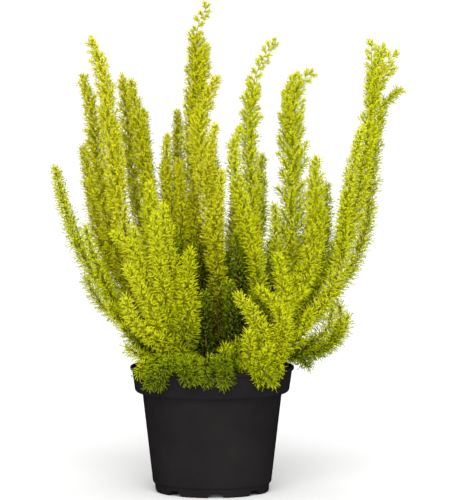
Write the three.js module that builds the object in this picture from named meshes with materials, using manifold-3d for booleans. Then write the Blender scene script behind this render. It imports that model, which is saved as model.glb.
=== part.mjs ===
// Potted tree heath: upright sprays of fine needles that grow from one root ball in a round nursery pot.
// Millimetres, +Z up. The pot stands on z = 0 with its axis on x = y = 0, and the front faces -Y.
import * as THREE from "three";
import { mergeVertices } from "three/addons/utils/BufferGeometryUtils.js";
import Module from "manifold-3d";

// Pot: radii and heights of a 13 cm nursery pot
const ROUND_SIDES = 32;
const SOIL_SIDES = 24;
const POT_HEIGHT = 100;
const LIP_RADIUS = 65;
const LIP_HEIGHT = 3;
const LIP_EDGE_HEIGHT = 2;
const BAND_TOP_RADIUS = 63.5;
const BAND_LOW_RADIUS = 61.5;
const BAND_LOW_Z = 83.5;
const BAND_BEVEL_WIDTH = 1;
const BAND_BEVEL_HEIGHT = 2;
const NECK_RADIUS = 55.2;
const NECK_Z = 79;
const BODY_LOW_RADIUS = 47.2;
const BODY_LOW_Z = 8;
const FOOT_RADIUS = 45.2;
const FOOT_STEP_HEIGHT = 2;
const FOOT_INNER_RADIUS = 35;
const FOOT_BEVEL = 1;
const FLOOR_UNDERSIDE_Z = 4.5;
const FLOOR_THICKNESS = 2.2;
const BOSS_RADIUS = 13;
const WALL = 1.8;

// Foot notches and drain holes
const NOTCH_COUNT = 8;
const NOTCH_TURN_DEG = 4;
const NOTCH_TOP_WIDTH = 9;
const NOTCH_LOW_WIDTH = 15;
const NOTCH_HEIGHT = 4.2;
const NOTCH_CUT_BELOW = 1;
const CUT_MARGIN = 4;
const DRAIN_COUNT = 4;
const DRAIN_RADIUS = 4;
const DRAIN_FROM_AXIS = 24;
const DRAIN_SIDES = 8;
const DRAIN_CUT_MARGIN = 2;

// Soil and the holes that the stems stand in
const SEAT_GAP = 0.35;
const SOIL_SIDE_GAP = 0.6;
const SOIL_EDGE_Z = 86;
const SOIL_CROWN_Z = 89;
const SOIL_CROWN_RADIUS = 50;
const SOIL_RELIEF = 0.7;
const SOIL_SWELLS = [5, 9];
const SOIL_EDGE_TOLERANCE = 0.1;
const HOLE_DEPTH = 11;
const HOLE_CLEARANCE = 0.75;
const HOLE_SIDES = 4;
const STRAIGHT_ABOVE_SOIL = 1;

// Stems, side shoots and needles
const SEED = 20261;
const GOLDEN_TURN = Math.PI * (3 - Math.sqrt(5));
const TURN_JITTER = 0.5;
const STEM_SIDES = 3;
const SHOOT_SIDES = 4;
const STEM_LOW_RADIUS = 1.8;
const STEM_TIP_RADIUS = 0.9;
const FORK_LOW_RADIUS = 1.4;
const SHOOT_RADIUS = 0.85;
const STEM_END_LENGTH = 3.5;
const NEEDLE_LENGTH = 6.6;
const TIP_NEEDLE_LENGTH = 5;
const NEEDLE_ROOT_HEIGHT = 0.95;
const NEEDLE_STAGGER = 0.19;
const NEEDLE_PITCH_DEG = 44;
const TIP_NEEDLE_PITCH_DEG = 34;
const NEEDLE_SPREAD_DEG = 26;
const NEEDLE_ROOT_SHARE = 0.7;
const NEEDLE_BARE_ROOT = 1.2;
const SHOOT_PITCH_DEG = 31;
const SHOOT_NEEDLE_REACH = 2.5;
const SHOOT_SHORTEST = 7;
const SHOOT_LONGEST = 15;
const SHOOT_BOW_SHARE = 0.05;
const SHOOT_WHORL_SHARE = 0.66;
const SHOOT_TURN_TRIES = 9;
const SHOOT_TURN_DEG = 40;
const SIDE_ROOT_SHARE = 0.5;
const FORK_SLANT = 1.2;
const SEARCH_STEPS = 120;
const FREE_BASE_SHARE = 0.35;
const PIECE_LENGTH = 8;
const TIP_REACH = 3.5;
const WHORL_STEP_AT_TIP = 13;
const WHORL_STEP = 27;
const TIP_ZONE = 60;
const FILL_POWER = 0.7;
const BARE_ABOVE_SOIL = 12;
const BARE_ABOVE_FORK = 8;
const SHOOT_CLEARANCE = 2.6;
const NEEDLE_CLEARANCE = 1.05;
const LEAST_NEEDLE_SHARE = 0.6;

const YOUNG_LEAF = 0xb8bd1d;
const LEAF = 0xaeb111;
const SHADED_LEAF = 0x7d820e;
const POT_BLACK = 0x242223;
const SOIL_BROWN = 0x3b2c20;
const LEAF_ROUGHNESS = 0.7;
const POT_ROUGHNESS = 0.5;
const SOIL_ROUGHNESS = 0.95;

// A stem is its reach, the half width of its foliage, and its way from the lowest point to the tip.
// The first stem of a spray starts in its hole in the soil, and the others branch off that first one.
const stem = (reach, ...way) => ({ reach, way: way.map((place) => new THREE.Vector3(...place)) });
const spray = (name, color, hole, ...stems) => ({ name, color, hole, stems });

const SPRAYS = [
  spray("left_outer", LEAF, [-30, 4],
    stem(8, [-74, 2, 141], [-90, 4, 163], [-104, 6, 189], [-118, 8, 230], [-124, 9, 256]),
    stem(6, [-84, -3, 156], [-91, -8, 181], [-98, -11, 203], [-101, -11, 216]),
    stem(6, [-66, -2, 133], [-78, -8, 136], [-90, -11, 143])),
  spray("left_bulge", LEAF, [-26, 14],
    stem(8, [-59, 17, 138], [-72, 20, 164], [-83, 21, 186], [-94, 23, 212], [-99, 25, 242],
      [-104, 27, 272])),
  spray("left_back", LEAF, [-20, 8],
    stem(8, [-55, 10, 143], [-70, 8, 176], [-81, 6, 206], [-88, 3, 238], [-92, 2, 273], [-96, 0, 305],
      [-102, 0, 330])),
  spray("left_tall", YOUNG_LEAF, [-22, -10],
    stem(9, [-43, -14, 136], [-55, -19, 167], [-64, -22, 195], [-72, -24, 221], [-77, -26, 257],
      [-81, -27, 292], [-85, -27, 323], [-89, -26, 340], [-95, -27, 358]),
    stem(6, [-74, -20, 234], [-73, -12, 261], [-75, -10, 284], [-78, -10, 304])),
  spray("back_left", LEAF, [-18, 24],
    stem(8, [-45, 34, 157], [-54, 39, 193], [-62, 44, 230], [-67, 49, 266], [-71, 51, 302], [-74, 55, 327])),
  spray("mid_left", LEAF, [-14, 14],
    stem(8, [-39, 19, 158], [-47, 24, 198], [-52, 26, 234], [-57, 29, 274], [-61, 32, 304], [-65, 33, 324]),
    stem(6, [-43, 36, 202], [-46, 47, 230], [-49, 53, 262], [-51, 57, 287], [-52, 59, 305])),
  spray("centre_left", YOUNG_LEAF, [-8, 10],
    stem(7, [-22, 13, 158], [-29, 15, 194], [-33, 16, 222], [-36, 17, 254], [-36, 19, 281]),
    stem(6, [-22, 6, 190], [-24, 2, 218], [-25, 0, 242], [-27, 0, 263])),
  spray("centre_back", SHADED_LEAF, [-8, 24],
    stem(7, [-16, 36, 157], [-22, 44, 197], [-26, 52, 238], [-28, 57, 274], [-28, 61, 304])),
  spray("centre_tall", LEAF, [-3, 2],
    stem(8, [-6, 5, 159], [-11, 7, 202], [-15, 10, 246], [-16, 11, 285], [-13, 12, 325], [-13, 13, 357],
      [-10, 12, 375], [-2, 9, 386]),
    stem(6, [-13, 4, 293], [-8, 0, 318], [-6, 0, 338], [-5, 0, 354])),
  spray("centre_front", YOUNG_LEAF, [6, -14],
    stem(9, [7, -16, 132], [5, -19, 167], [2, -20, 203], [-4, -20, 238], [-9, -20, 273], [-8, -20, 300],
      [-2, -20, 315], [5, -21, 327]),
    stem(6, [-5, -28, 249], [-1, -35, 270], [3, -39, 293]),
    stem(6, [1, -27, 218], [5, -33, 238], [9, -37, 263])),
  spray("mid_front", YOUNG_LEAF, [22, -16],
    stem(8, [36, -22, 140], [36, -23, 172], [31, -24, 199], [24, -26, 226], [18, -26, 257], [17, -28, 275],
      [22, -27, 290])),
  spray("mid_tall", LEAF, [16, 4],
    stem(9, [32, 5, 151], [36, 7, 190], [33, 8, 226], [30, 11, 269], [30, 12, 305], [33, 13, 328],
      [40, 13, 343], [49, 13, 358])),
  spray("right_mid_tall", LEAF, [20, 14],
    stem(9, [46, 17, 146], [57, 21, 182], [63, 24, 222], [64, 27, 262], [64, 29, 295], [68, 31, 318],
      [79, 32, 332]),
    stem(6, [63, 22, 282], [60, 19, 300], [60, 17, 316], [67, 17, 331]),
    stem(7, [53, 12, 170], [50, 9, 194], [50, 8, 227])),
  spray("right_inner", YOUNG_LEAF, [28, -8],
    stem(8, [57, -12, 140], [69, -13, 163], [78, -14, 187], [82, -14, 213], [81, -15, 241],
      [82, -16, 266])),
  spray("right_back", SHADED_LEAF, [30, 14],
    stem(7, [60, 21, 134], [74, 27, 153], [85, 32, 175], [93, 35, 196], [94, 38, 220], [95, 41, 244])),
  spray("right_tall", YOUNG_LEAF, [34, -4],
    stem(9, [61, -7, 123], [78, -8, 139], [91, -9, 155], [101, -10, 181], [109, -9, 209], [116, -10, 242],
      [121, -9, 273], [125, -10, 304], [128, -8, 330], [135, -9, 354]),
    stem(7, [105, -19, 196], [104, -27, 221], [108, -31, 249], [113, -33, 276], [117, -35, 298]),
    stem(5, [127, -8, 320], [126, 0, 336], [126, 4, 356]),
    stem(5, [127, -12, 316], [131, -23, 332], [144, -29, 350]),
    stem(5, [127, -4, 306], [133, 6, 323], [143, 13, 339])),
  spray("right_outer", LEAF, [36, 8],
    stem(8, [63, 14, 126], [84, 17, 142], [100, 20, 160], [114, 21, 182], [124, 23, 207], [127, 23, 238],
      [129, 23, 266], [132, 23, 290], [137, 22, 306], [149, 22, 318])),
  spray("right_low", LEAF, [40, 0],
    stem(7, [60, 4, 109], [76, 5, 110], [90, 7, 116], [100, 7, 126], [103, 7, 137], [102, 7, 148])),
  spray("right_low_inner", LEAF, [32, -16],
    stem(6, [56, -22, 115], [66, -25, 121], [74, -27, 133], [77, -28, 146])),
  spray("front_left", YOUNG_LEAF, [-30, -28],
    stem(8, [-29, -34, 118], [-31, -39, 145], [-33, -44, 176], [-37, -47, 203], [-38, -49, 230]),
    stem(6, [-33, -46, 138], [-38, -54, 165], [-42, -59, 192], [-44, -62, 225])),
  spray("front_left_outer", YOUNG_LEAF, [-38, -32],
    stem(7, [-37, -43, 116], [-44, -50, 138], [-51, -55, 157], [-59, -58, 172], [-66, -59, 184]),
    stem(6, [-44, -44, 141], [-50, -43, 164], [-61, -43, 195], [-77, -45, 208]),
    stem(5, [-40, -55, 128], [-54, -60, 134], [-63, -64, 146], [-67, -66, 160])),
  spray("front_mid_left", LEAF, [-20, -36],
    stem(8, [-22, -46, 121], [-20, -53, 146], [-19, -58, 169], [-17, -62, 197])),
  spray("left_mid", YOUNG_LEAF, [-22, -20],
    stem(7, [-38, -26, 148], [-43, -30, 179], [-46, -33, 207], [-48, -34, 230], [-49, -36, 248]),
    stem(6, [-44, -34, 160], [-54, -38, 180], [-61, -40, 211])),
  spray("front_right", YOUNG_LEAF, [24, -34],
    stem(7, [38, -46, 116], [38, -52, 132], [33, -55, 144], [20, -59, 161])),
  spray("front_right_outer", YOUNG_LEAF, [32, -27],
    stem(7, [52, -38, 118], [56, -43, 134], [51, -47, 151], [37, -49, 165]),
    stem(6, [57, -36, 141], [56, -36, 160], [52, -36, 190]),
    stem(5, [56, -29, 138], [61, -27, 152], [72, -25, 162])),
  spray("rear_left", LEAF, [-30, 28],
    stem(8, [-60, 44, 150], [-77, 52, 196], [-84, 56, 240])),
  spray("rear_left_low", LEAF, [-36, 20],
    stem(7, [-62, 48, 122], [-80, 68, 150], [-90, 78, 192]),
    stem(6, [-66, 52, 128], [-88, 57, 142], [-102, 60, 164])),
  spray("rear_mid_left", LEAF, [-16, 34],
    stem(8, [-26, 56, 150], [-34, 66, 205], [-40, 68, 256]),
    stem(6, [-28, 62, 172], [-20, 76, 196], [-17, 80, 226])),
  spray("rear_mid", LEAF, [2, 34],
    stem(8, [4, 54, 150], [3, 66, 210], [0, 70, 270])),
  spray("rear_low", YOUNG_LEAF, [-4, 46],
    stem(7, [-8, 68, 125], [-6, 84, 160], [-4, 90, 202]),
    stem(6, [-7, 74, 134], [-22, 88, 148], [-30, 94, 168])),
  spray("rear_mid_right", LEAF, [14, 26],
    stem(8, [30, 46, 150], [37, 58, 206], [40, 62, 262])),
  spray("rear_right", LEAF, [26, 26],
    stem(8, [56, 46, 145], [74, 58, 188], [84, 64, 236])),
  spray("rear_right_low", YOUNG_LEAF, [34, 34],
    stem(7, [48, 57, 124], [64, 78, 152], [70, 86, 190]),
    stem(6, [60, 68, 138], [80, 74, 152], [94, 76, 176])),
  spray("rim_left", YOUNG_LEAF, [-38, -18],
    stem(6, [-45, -32, 105], [-55, -37, 111], [-64, -38, 120]),
    stem(5, [-45, -33, 106], [-50, -43, 107], [-57, -51, 106], [-63, -56, 101])),
  spray("rim_front_left", LEAF, [-26, -38],
    stem(6, [-31, -49, 104], [-37, -59, 105], [-44, -66, 99], [-49, -67, 92]),
    stem(5, [-31, -51, 105], [-19, -66, 104], [-9, -73, 97])),
  spray("rim_front", LEAF, [3, -38],
    stem(5, [6, -50, 101], [8, -59, 105], [9, -68, 102], [8, -76, 93]),
    stem(5, [7, -51, 102], [9, -57, 112], [11, -59, 120])),
  spray("rim_front_inner", SHADED_LEAF, [10, -35],
    stem(5, [14, -49, 104], [17, -54, 113], [20, -56, 124])),
  spray("rim_front_right", LEAF, [21, -42],
    stem(6, [28, -51, 105], [29, -60, 119], [28, -63, 132]),
    stem(5, [29, -55, 109], [40, -60, 112], [45, -64, 121]),
    stem(5, [29, -53, 106], [39, -64, 104], [48, -70, 94])),
  spray("rim_right", LEAF, [42, 13],
    stem(6, [54, 18, 104], [67, 23, 108], [80, 30, 118]),
    stem(5, [60, 20, 106], [70, 31, 104], [80, 37, 97])),
  spray("rim_rear_left", LEAF, [-28, 38],
    stem(6, [-36, 47, 105], [-46, 60, 109], [-54, 69, 118]),
    stem(5, [-38, 50, 106], [-39, 68, 104], [-38, 76, 95])),
  spray("rim_rear_right", LEAF, [20, 44],
    stem(6, [24, 53, 105], [29, 67, 110], [32, 78, 120]),
    stem(5, [25, 56, 106], [39, 68, 104], [48, 72, 96])),
];

const wasm = await Module();
wasm.setup();

// A seeded draw between 0 and 1
let drawState = SEED;
const DRAW_FACTOR = 1664525;
const DRAW_STEP = 1013904223;
const DRAW_RANGE = 2 ** 32;
function draw() {
  drawState = (drawState * DRAW_FACTOR + DRAW_STEP) % DRAW_RANGE;
  return drawState / DRAW_RANGE;
}

const wrap = (k, count) => ((k % count) + count) % count;
const between = (low, high, share) => low + (high - low) * share;
const radians = THREE.MathUtils.degToRad;

// Turn a closed geometry into a solid for joins and cuts, with coincident corners merged
const MERGE_DISTANCE = 1e-4;
function toSolid(geometry) {
  const bare = geometry.clone();
  bare.deleteAttribute("normal");
  bare.deleteAttribute("uv");
  const merged = mergeVertices(bare, MERGE_DISTANCE);
  const corners = merged.index.array;
  const triVerts = [];
  for (let i = 0; i < corners.length; i += 3) {
    const [a, b, c] = corners.slice(i, i + 3);
    if (a !== b && b !== c && c !== a) triVerts.push(a, b, c);
  }
  return new wasm.Manifold(new wasm.Mesh({
    numProp: 3,
    vertProperties: new Float32Array(merged.attributes.position.array),
    triVerts: new Uint32Array(triVerts),
  }));
}

function toGeometry(solid) {
  const mesh = solid.getMesh();
  const geometry = new THREE.BufferGeometry();
  geometry.setAttribute("position", new THREE.BufferAttribute(mesh.vertProperties, 3));
  geometry.setIndex(new THREE.BufferAttribute(mesh.triVerts, 1));
  return geometry;
}

// Revolve a profile of [radius, height] points round the pot's axis
function turned(profile, sides) {
  const outline = profile.map(([radius, height]) => new THREE.Vector2(radius, height));
  const geometry = new THREE.LatheGeometry(outline, sides);
  geometry.rotateX(Math.PI / 2);
  return geometry;
}

function notchCutter(turn) {
  const outline = new THREE.Shape([
    new THREE.Vector2(-NOTCH_LOW_WIDTH / 2, -NOTCH_CUT_BELOW),
    new THREE.Vector2(NOTCH_LOW_WIDTH / 2, -NOTCH_CUT_BELOW),
    new THREE.Vector2(NOTCH_TOP_WIDTH / 2, NOTCH_HEIGHT),
    new THREE.Vector2(-NOTCH_TOP_WIDTH / 2, NOTCH_HEIGHT),
  ]);
  const reach = FOOT_RADIUS - FOOT_INNER_RADIUS + 2 * CUT_MARGIN;
  const geometry = new THREE.ExtrudeGeometry(outline, { depth: reach, bevelEnabled: false });
  geometry.rotateX(Math.PI / 2);
  geometry.translate(0, CUT_MARGIN - FOOT_INNER_RADIUS, 0);
  geometry.rotateZ(turn);
  return toSolid(geometry);
}

function drainCutter(turn) {
  const length = FLOOR_THICKNESS + 2 * DRAIN_CUT_MARGIN;
  const geometry = new THREE.CylinderGeometry(DRAIN_RADIUS, DRAIN_RADIUS, length, DRAIN_SIDES);
  geometry.rotateX(Math.PI / 2);
  geometry.translate(0, -DRAIN_FROM_AXIS, FLOOR_UNDERSIDE_Z + FLOOR_THICKNESS / 2);
  geometry.rotateZ(turn);
  return toSolid(geometry);
}

function makePot() {
  const floorTop = FLOOR_UNDERSIDE_Z + FLOOR_THICKNESS;
  let pot = toSolid(turned([
    [0, 0],
    [BOSS_RADIUS, 0],
    [BOSS_RADIUS, FLOOR_UNDERSIDE_Z],
    [FOOT_INNER_RADIUS, FLOOR_UNDERSIDE_Z],
    [FOOT_INNER_RADIUS, 0],
    [FOOT_RADIUS - FOOT_BEVEL, 0],
    [FOOT_RADIUS, FOOT_BEVEL],
    [FOOT_RADIUS, BODY_LOW_Z - FOOT_STEP_HEIGHT],
    [BODY_LOW_RADIUS, BODY_LOW_Z],
    [NECK_RADIUS, NECK_Z],
    [BAND_LOW_RADIUS - BAND_BEVEL_WIDTH, BAND_LOW_Z - BAND_BEVEL_HEIGHT],
    [BAND_LOW_RADIUS, BAND_LOW_Z],
    [BAND_TOP_RADIUS, POT_HEIGHT - LIP_HEIGHT],
    [LIP_RADIUS, POT_HEIGHT - LIP_EDGE_HEIGHT],
    [LIP_RADIUS, POT_HEIGHT],
    [BAND_TOP_RADIUS - WALL, POT_HEIGHT],
    [BAND_LOW_RADIUS - WALL, BAND_LOW_Z],
    [NECK_RADIUS - WALL, NECK_Z],
    [BODY_LOW_RADIUS - WALL, floorTop],
    [0, floorTop],
  ], ROUND_SIDES));
  for (let i = 0; i < NOTCH_COUNT; i += 1) {
    pot = pot.subtract(notchCutter(radians(NOTCH_TURN_DEG) + (i * 2 * Math.PI) / NOTCH_COUNT));
  }
  for (let i = 0; i < DRAIN_COUNT; i += 1) {
    pot = pot.subtract(drainCutter(radians(NOTCH_TURN_DEG) + (i * 2 * Math.PI) / DRAIN_COUNT));
  }
  return toGeometry(pot);
}

// The soil is level where the stems stand and falls to its edge outside them
const SOIL_RADIUS = BAND_LOW_RADIUS - WALL - SOIL_SIDE_GAP;
function soilHeight(radius) {
  const share = (radius - SOIL_CROWN_RADIUS) / (SOIL_RADIUS - SOIL_CROWN_RADIUS);
  return between(SOIL_CROWN_Z, SOIL_EDGE_Z, THREE.MathUtils.clamp(share, 0, 1));
}

// Where a stem leaves the soil, and the slant that it stands at in its hole
function rooting({ hole: [x, y], stems: [{ way }] }) {
  const mouth = new THREE.Vector3(x, y, soilHeight(Math.hypot(x, y)));
  return { mouth, slant: way[0].clone().sub(mouth).normalize() };
}

function makeSoil() {
  const low = FLOOR_UNDERSIDE_Z + FLOOR_THICKNESS + SEAT_GAP;
  const geometry = turned([
    [0, low],
    [BODY_LOW_RADIUS - WALL - SOIL_SIDE_GAP, low],
    [NECK_RADIUS - WALL - SOIL_SIDE_GAP, NECK_Z],
    [SOIL_RADIUS, BAND_LOW_Z + SEAT_GAP],
    [SOIL_RADIUS, SOIL_EDGE_Z],
    [SOIL_CROWN_RADIUS, SOIL_CROWN_Z],
    [0, SOIL_CROWN_Z],
  ], SOIL_SIDES);
  const corners = geometry.attributes.position;
  for (let i = 0; i < corners.count; i += 1) {
    const isEdge = Math.abs(corners.getZ(i) - SOIL_EDGE_Z) < SOIL_EDGE_TOLERANCE;
    if (isEdge) {
      const bearing = Math.atan2(corners.getY(i), corners.getX(i));
      const swells = SOIL_SWELLS.map((count) => Math.sin(count * bearing) / SOIL_SWELLS.length);
      corners.setZ(i, SOIL_EDGE_Z + SOIL_RELIEF * swells.reduce((sum, swell) => sum + swell));
    }
  }
  let soil = toSolid(geometry);
  const holeRadius = (STEM_LOW_RADIUS + HOLE_CLEARANCE) * Math.SQRT2;
  const alongHeight = new THREE.Vector3(0, 1, 0);
  for (const entry of SPRAYS) {
    const { mouth, slant } = rooting(entry);
    const cutter = new THREE.CylinderGeometry(holeRadius, holeRadius, 2 * HOLE_DEPTH, HOLE_SIDES);
    cutter.applyQuaternion(new THREE.Quaternion().setFromUnitVectors(alongHeight, slant));
    cutter.translate(...mouth.toArray());
    soil = soil.subtract(toSolid(cutter));
  }
  return toGeometry(soil);
}

// Shortest distance between the straight pieces a-b and c-d
const PARALLEL_LIMIT = 1e-9;
function pieceDistance(a, b, c, d) {
  const u = b.clone().sub(a);
  const v = d.clone().sub(c);
  const w = a.clone().sub(c);
  const uu = u.dot(u);
  const uv = u.dot(v);
  const vv = v.dot(v);
  const uw = u.dot(w);
  const vw = v.dot(w);
  const spread = uu * vv - uv * uv;
  let s = spread > PARALLEL_LIMIT ? THREE.MathUtils.clamp((uv * vw - vv * uw) / spread, 0, 1) : 0;
  const t = THREE.MathUtils.clamp((uv * s + vw) / vv, 0, 1);
  s = THREE.MathUtils.clamp((uv * t - uw) / uu, 0, 1);
  return w.addScaledVector(u, s).addScaledVector(v, -t).length();
}

// True where a point lies in the pot's wall or the soil, or nearer to them than the gap
function touchesPot(point, gap) {
  const radius = Math.hypot(point.x, point.y);
  if (radius > LIP_RADIUS + gap || point.z > POT_HEIGHT + gap) return false;
  const insideRim = radius < BAND_LOW_RADIUS - WALL - gap;
  return !(insideRim && point.z > soilHeight(radius) + SOIL_RELIEF + gap);
}

// What stands already, as straight pieces, each with its limb, and a needle also with its whorl
const standing = [];

function isClear(from, to, limb, gap, whorl) {
  if (touchesPot(to, gap) || touchesPot(from.clone().lerp(to, 0.5), gap)) return false;
  const reach = gap + from.distanceTo(to);
  return standing.every((piece) => {
    if (piece.limb === limb && (!piece.whorl || piece.whorl === whorl)) return true;
    if (piece.from.distanceTo(from) > reach + piece.length) return true;
    return pieceDistance(from, to, piece.from, piece.to) > gap + piece.radius;
  });
}

function stand(from, to, radius, limb, whorl) {
  standing.push({ from, to, radius, limb, whorl, length: from.distanceTo(to) });
}

// A limb is a stem, a side stem or a shoot: a smooth way with a radius that falls towards its tip
function makeLimb(way, lowRadius, sides, reach) {
  const curve = new THREE.CatmullRomCurve3(way, false, "centripetal");
  const length = curve.getLength();
  return { curve, length, lowRadius, sides, reach, whorls: [] };
}

// A place on the limb at a distance from its base, with its own axes: up along the limb, side and across
function placeOn(limb, distance, side) {
  const share = THREE.MathUtils.clamp(distance / limb.length, 0, 1);
  const up = limb.curve.getTangentAt(share);
  const level = side.clone().addScaledVector(up, -side.dot(up)).normalize();
  const across = new THREE.Vector3().crossVectors(up, level);
  const fullness = Math.min(1, (limb.length - distance) / TIP_ZONE);
  const radius = between(Math.min(STEM_TIP_RADIUS, limb.lowRadius), limb.lowRadius, fullness);
  return { centre: limb.curve.getPointAt(share), up, side: level, across, radius, distance };
}

const outward = (place, bearing) => place.side.clone().multiplyScalar(Math.cos(bearing))
  .addScaledVector(place.across, Math.sin(bearing));

const bearingOf = (place, direction) => Math.atan2(direction.dot(place.across), direction.dot(place.side));

// The half width of the foliage at a place: slender at the tip and full below it
function foliageReach(limb, distance) {
  const fromTip = limb.length - distance;
  return between(TIP_REACH, limb.reach, Math.min(1, fromTip / TIP_ZONE) ** FILL_POWER);
}

// Set the whorls along a limb, closer towards its tip
function setWhorls(limb, firstAt) {
  let side = new THREE.Vector3(1, 0, 0);
  let distance = limb.length - STEM_END_LENGTH;
  const distances = [];
  while (distance > firstAt) {
    distances.unshift(distance);
    const fromTip = limb.length - distance;
    distance -= between(WHORL_STEP_AT_TIP, WHORL_STEP, Math.min(1, fromTip / TIP_ZONE));
  }
  distances.forEach((at, order) => {
    const place = placeOn(limb, at, side);
    side = place.side;
    limb.whorls.push({ place, turn: order * GOLDEN_TURN + draw() * TURN_JITTER, sprouts: [] });
  });
}

// The bearing of the middle of one side of a whorl
const sideBearing = (limb, whorl, k) => whorl.turn + ((k + 0.5) * 2 * Math.PI) / limb.sides;

// A side stem starts on the stem a little below its first point, from a whorl turned to face it
function branchOff(parent, { reach, way }) {
  let nearest = 0;
  let best = Infinity;
  for (let i = 0; i <= SEARCH_STEPS; i += 1) {
    const gap = parent.curve.getPointAt(i / SEARCH_STEPS).distanceTo(way[0]);
    if (gap < best) {
      best = gap;
      nearest = (i / SEARCH_STEPS) * parent.length;
    }
  }
  const wanted = nearest - FORK_SLANT * best;
  const free = parent.whorls.filter((whorl) => whorl.sprouts.length === 0);
  free.sort((p, q) => Math.abs(p.place.distance - wanted) - Math.abs(q.place.distance - wanted));
  const whorl = free[0];
  const { place } = whorl;
  const bearing = bearingOf(place, way[1].clone().sub(place.centre));
  whorl.turn = bearing - Math.PI / parent.sides;
  const out = outward(place, bearing);
  const start = place.centre.clone().addScaledVector(out, place.radius * SIDE_ROOT_SHARE);
  const limb = makeLimb([start, ...way.slice(1)], FORK_LOW_RADIUS, SHOOT_SIDES, reach);
  whorl.sprouts.push({ side: 0, limb });
  return limb;
}

// A side shoot leaves the stem at a slant, where there is room for it
function trySideShoot(parent, whorl) {
  const room = foliageReach(parent, whorl.place.distance);
  const length = Math.min((room - SHOOT_NEEDLE_REACH) / Math.sin(radians(SHOOT_PITCH_DEG)), SHOOT_LONGEST);
  if (length < SHOOT_SHORTEST || whorl.sprouts.length > 0) return;
  const { place } = whorl;
  for (let attempt = 0; attempt < SHOOT_TURN_TRIES; attempt += 1) {
    const bearing = sideBearing(parent, whorl, 0);
    const out = outward(place, bearing);
    const start = place.centre.clone().addScaledVector(out, place.radius * SIDE_ROOT_SHARE);
    const slant = out.clone().multiplyScalar(Math.sin(radians(SHOOT_PITCH_DEG)))
      .addScaledVector(place.up, Math.cos(radians(SHOOT_PITCH_DEG)));
    const end = start.clone().addScaledVector(slant, length);
    const middle = start.clone().lerp(end, 0.5).addScaledVector(out, length * SHOOT_BOW_SHARE);
    const freeFrom = start.clone().lerp(end, FREE_BASE_SHARE);
    if (isClear(freeFrom, end, parent, SHOOT_CLEARANCE)) {
      const limb = makeLimb([start, middle, end], SHOOT_RADIUS, SHOOT_SIDES, 0);
      const onlyWhorl = placeOn(limb, length * SHOOT_WHORL_SHARE, place.side);
      limb.whorls.push({ place: onlyWhorl, turn: whorl.turn, sprouts: [] });
      stand(freeFrom, end, SHOOT_RADIUS, limb);
      whorl.sprouts.push({ side: 0, limb });
      return;
    }
    whorl.turn += radians(SHOOT_TURN_DEG);
  }
}

function standLimb(limb) {
  const steps = Math.ceil(limb.length / PIECE_LENGTH);
  for (let i = FREE_BASE_SHARE; i < steps; i += 1) {
    const from = limb.curve.getPointAt(i / steps);
    const to = limb.curve.getPointAt(Math.min((i + 1) / steps, 1));
    stand(from, to, limb.lowRadius, limb);
  }
}

// The two needle tips on one side of a whorl, or fewer where they would meet what stands there
function needleTips(limb, whorl, k) {
  const { place } = whorl;
  const nearTip = 1 - Math.min(1, (limb.length - place.distance) / TIP_ZONE);
  const length = between(NEEDLE_LENGTH, TIP_NEEDLE_LENGTH, nearTip);
  const pitch = radians(between(NEEDLE_PITCH_DEG, TIP_NEEDLE_PITCH_DEG, nearTip));
  return [1, -1].map((hand) => {
    const bearing = sideBearing(limb, whorl, k) + hand * radians(NEEDLE_SPREAD_DEG);
    const out = outward(place, bearing);
    const root = place.centre.clone().addScaledVector(out, place.radius * NEEDLE_ROOT_SHARE)
      .addScaledVector(place.up, -hand * NEEDLE_STAGGER);
    const slant = out.multiplyScalar(Math.sin(pitch)).addScaledVector(place.up, Math.cos(pitch));
    for (const share of [1, LEAST_NEEDLE_SHARE]) {
      const tip = root.clone().addScaledVector(slant, length * share);
      const from = root.clone().addScaledVector(slant, NEEDLE_BARE_ROOT);
      if (isClear(from, tip, limb, NEEDLE_CLEARANCE, whorl)) {
        stand(from, tip, 0, limb, whorl);
        return tip;
      }
    }
    return null;
  });
}

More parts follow.
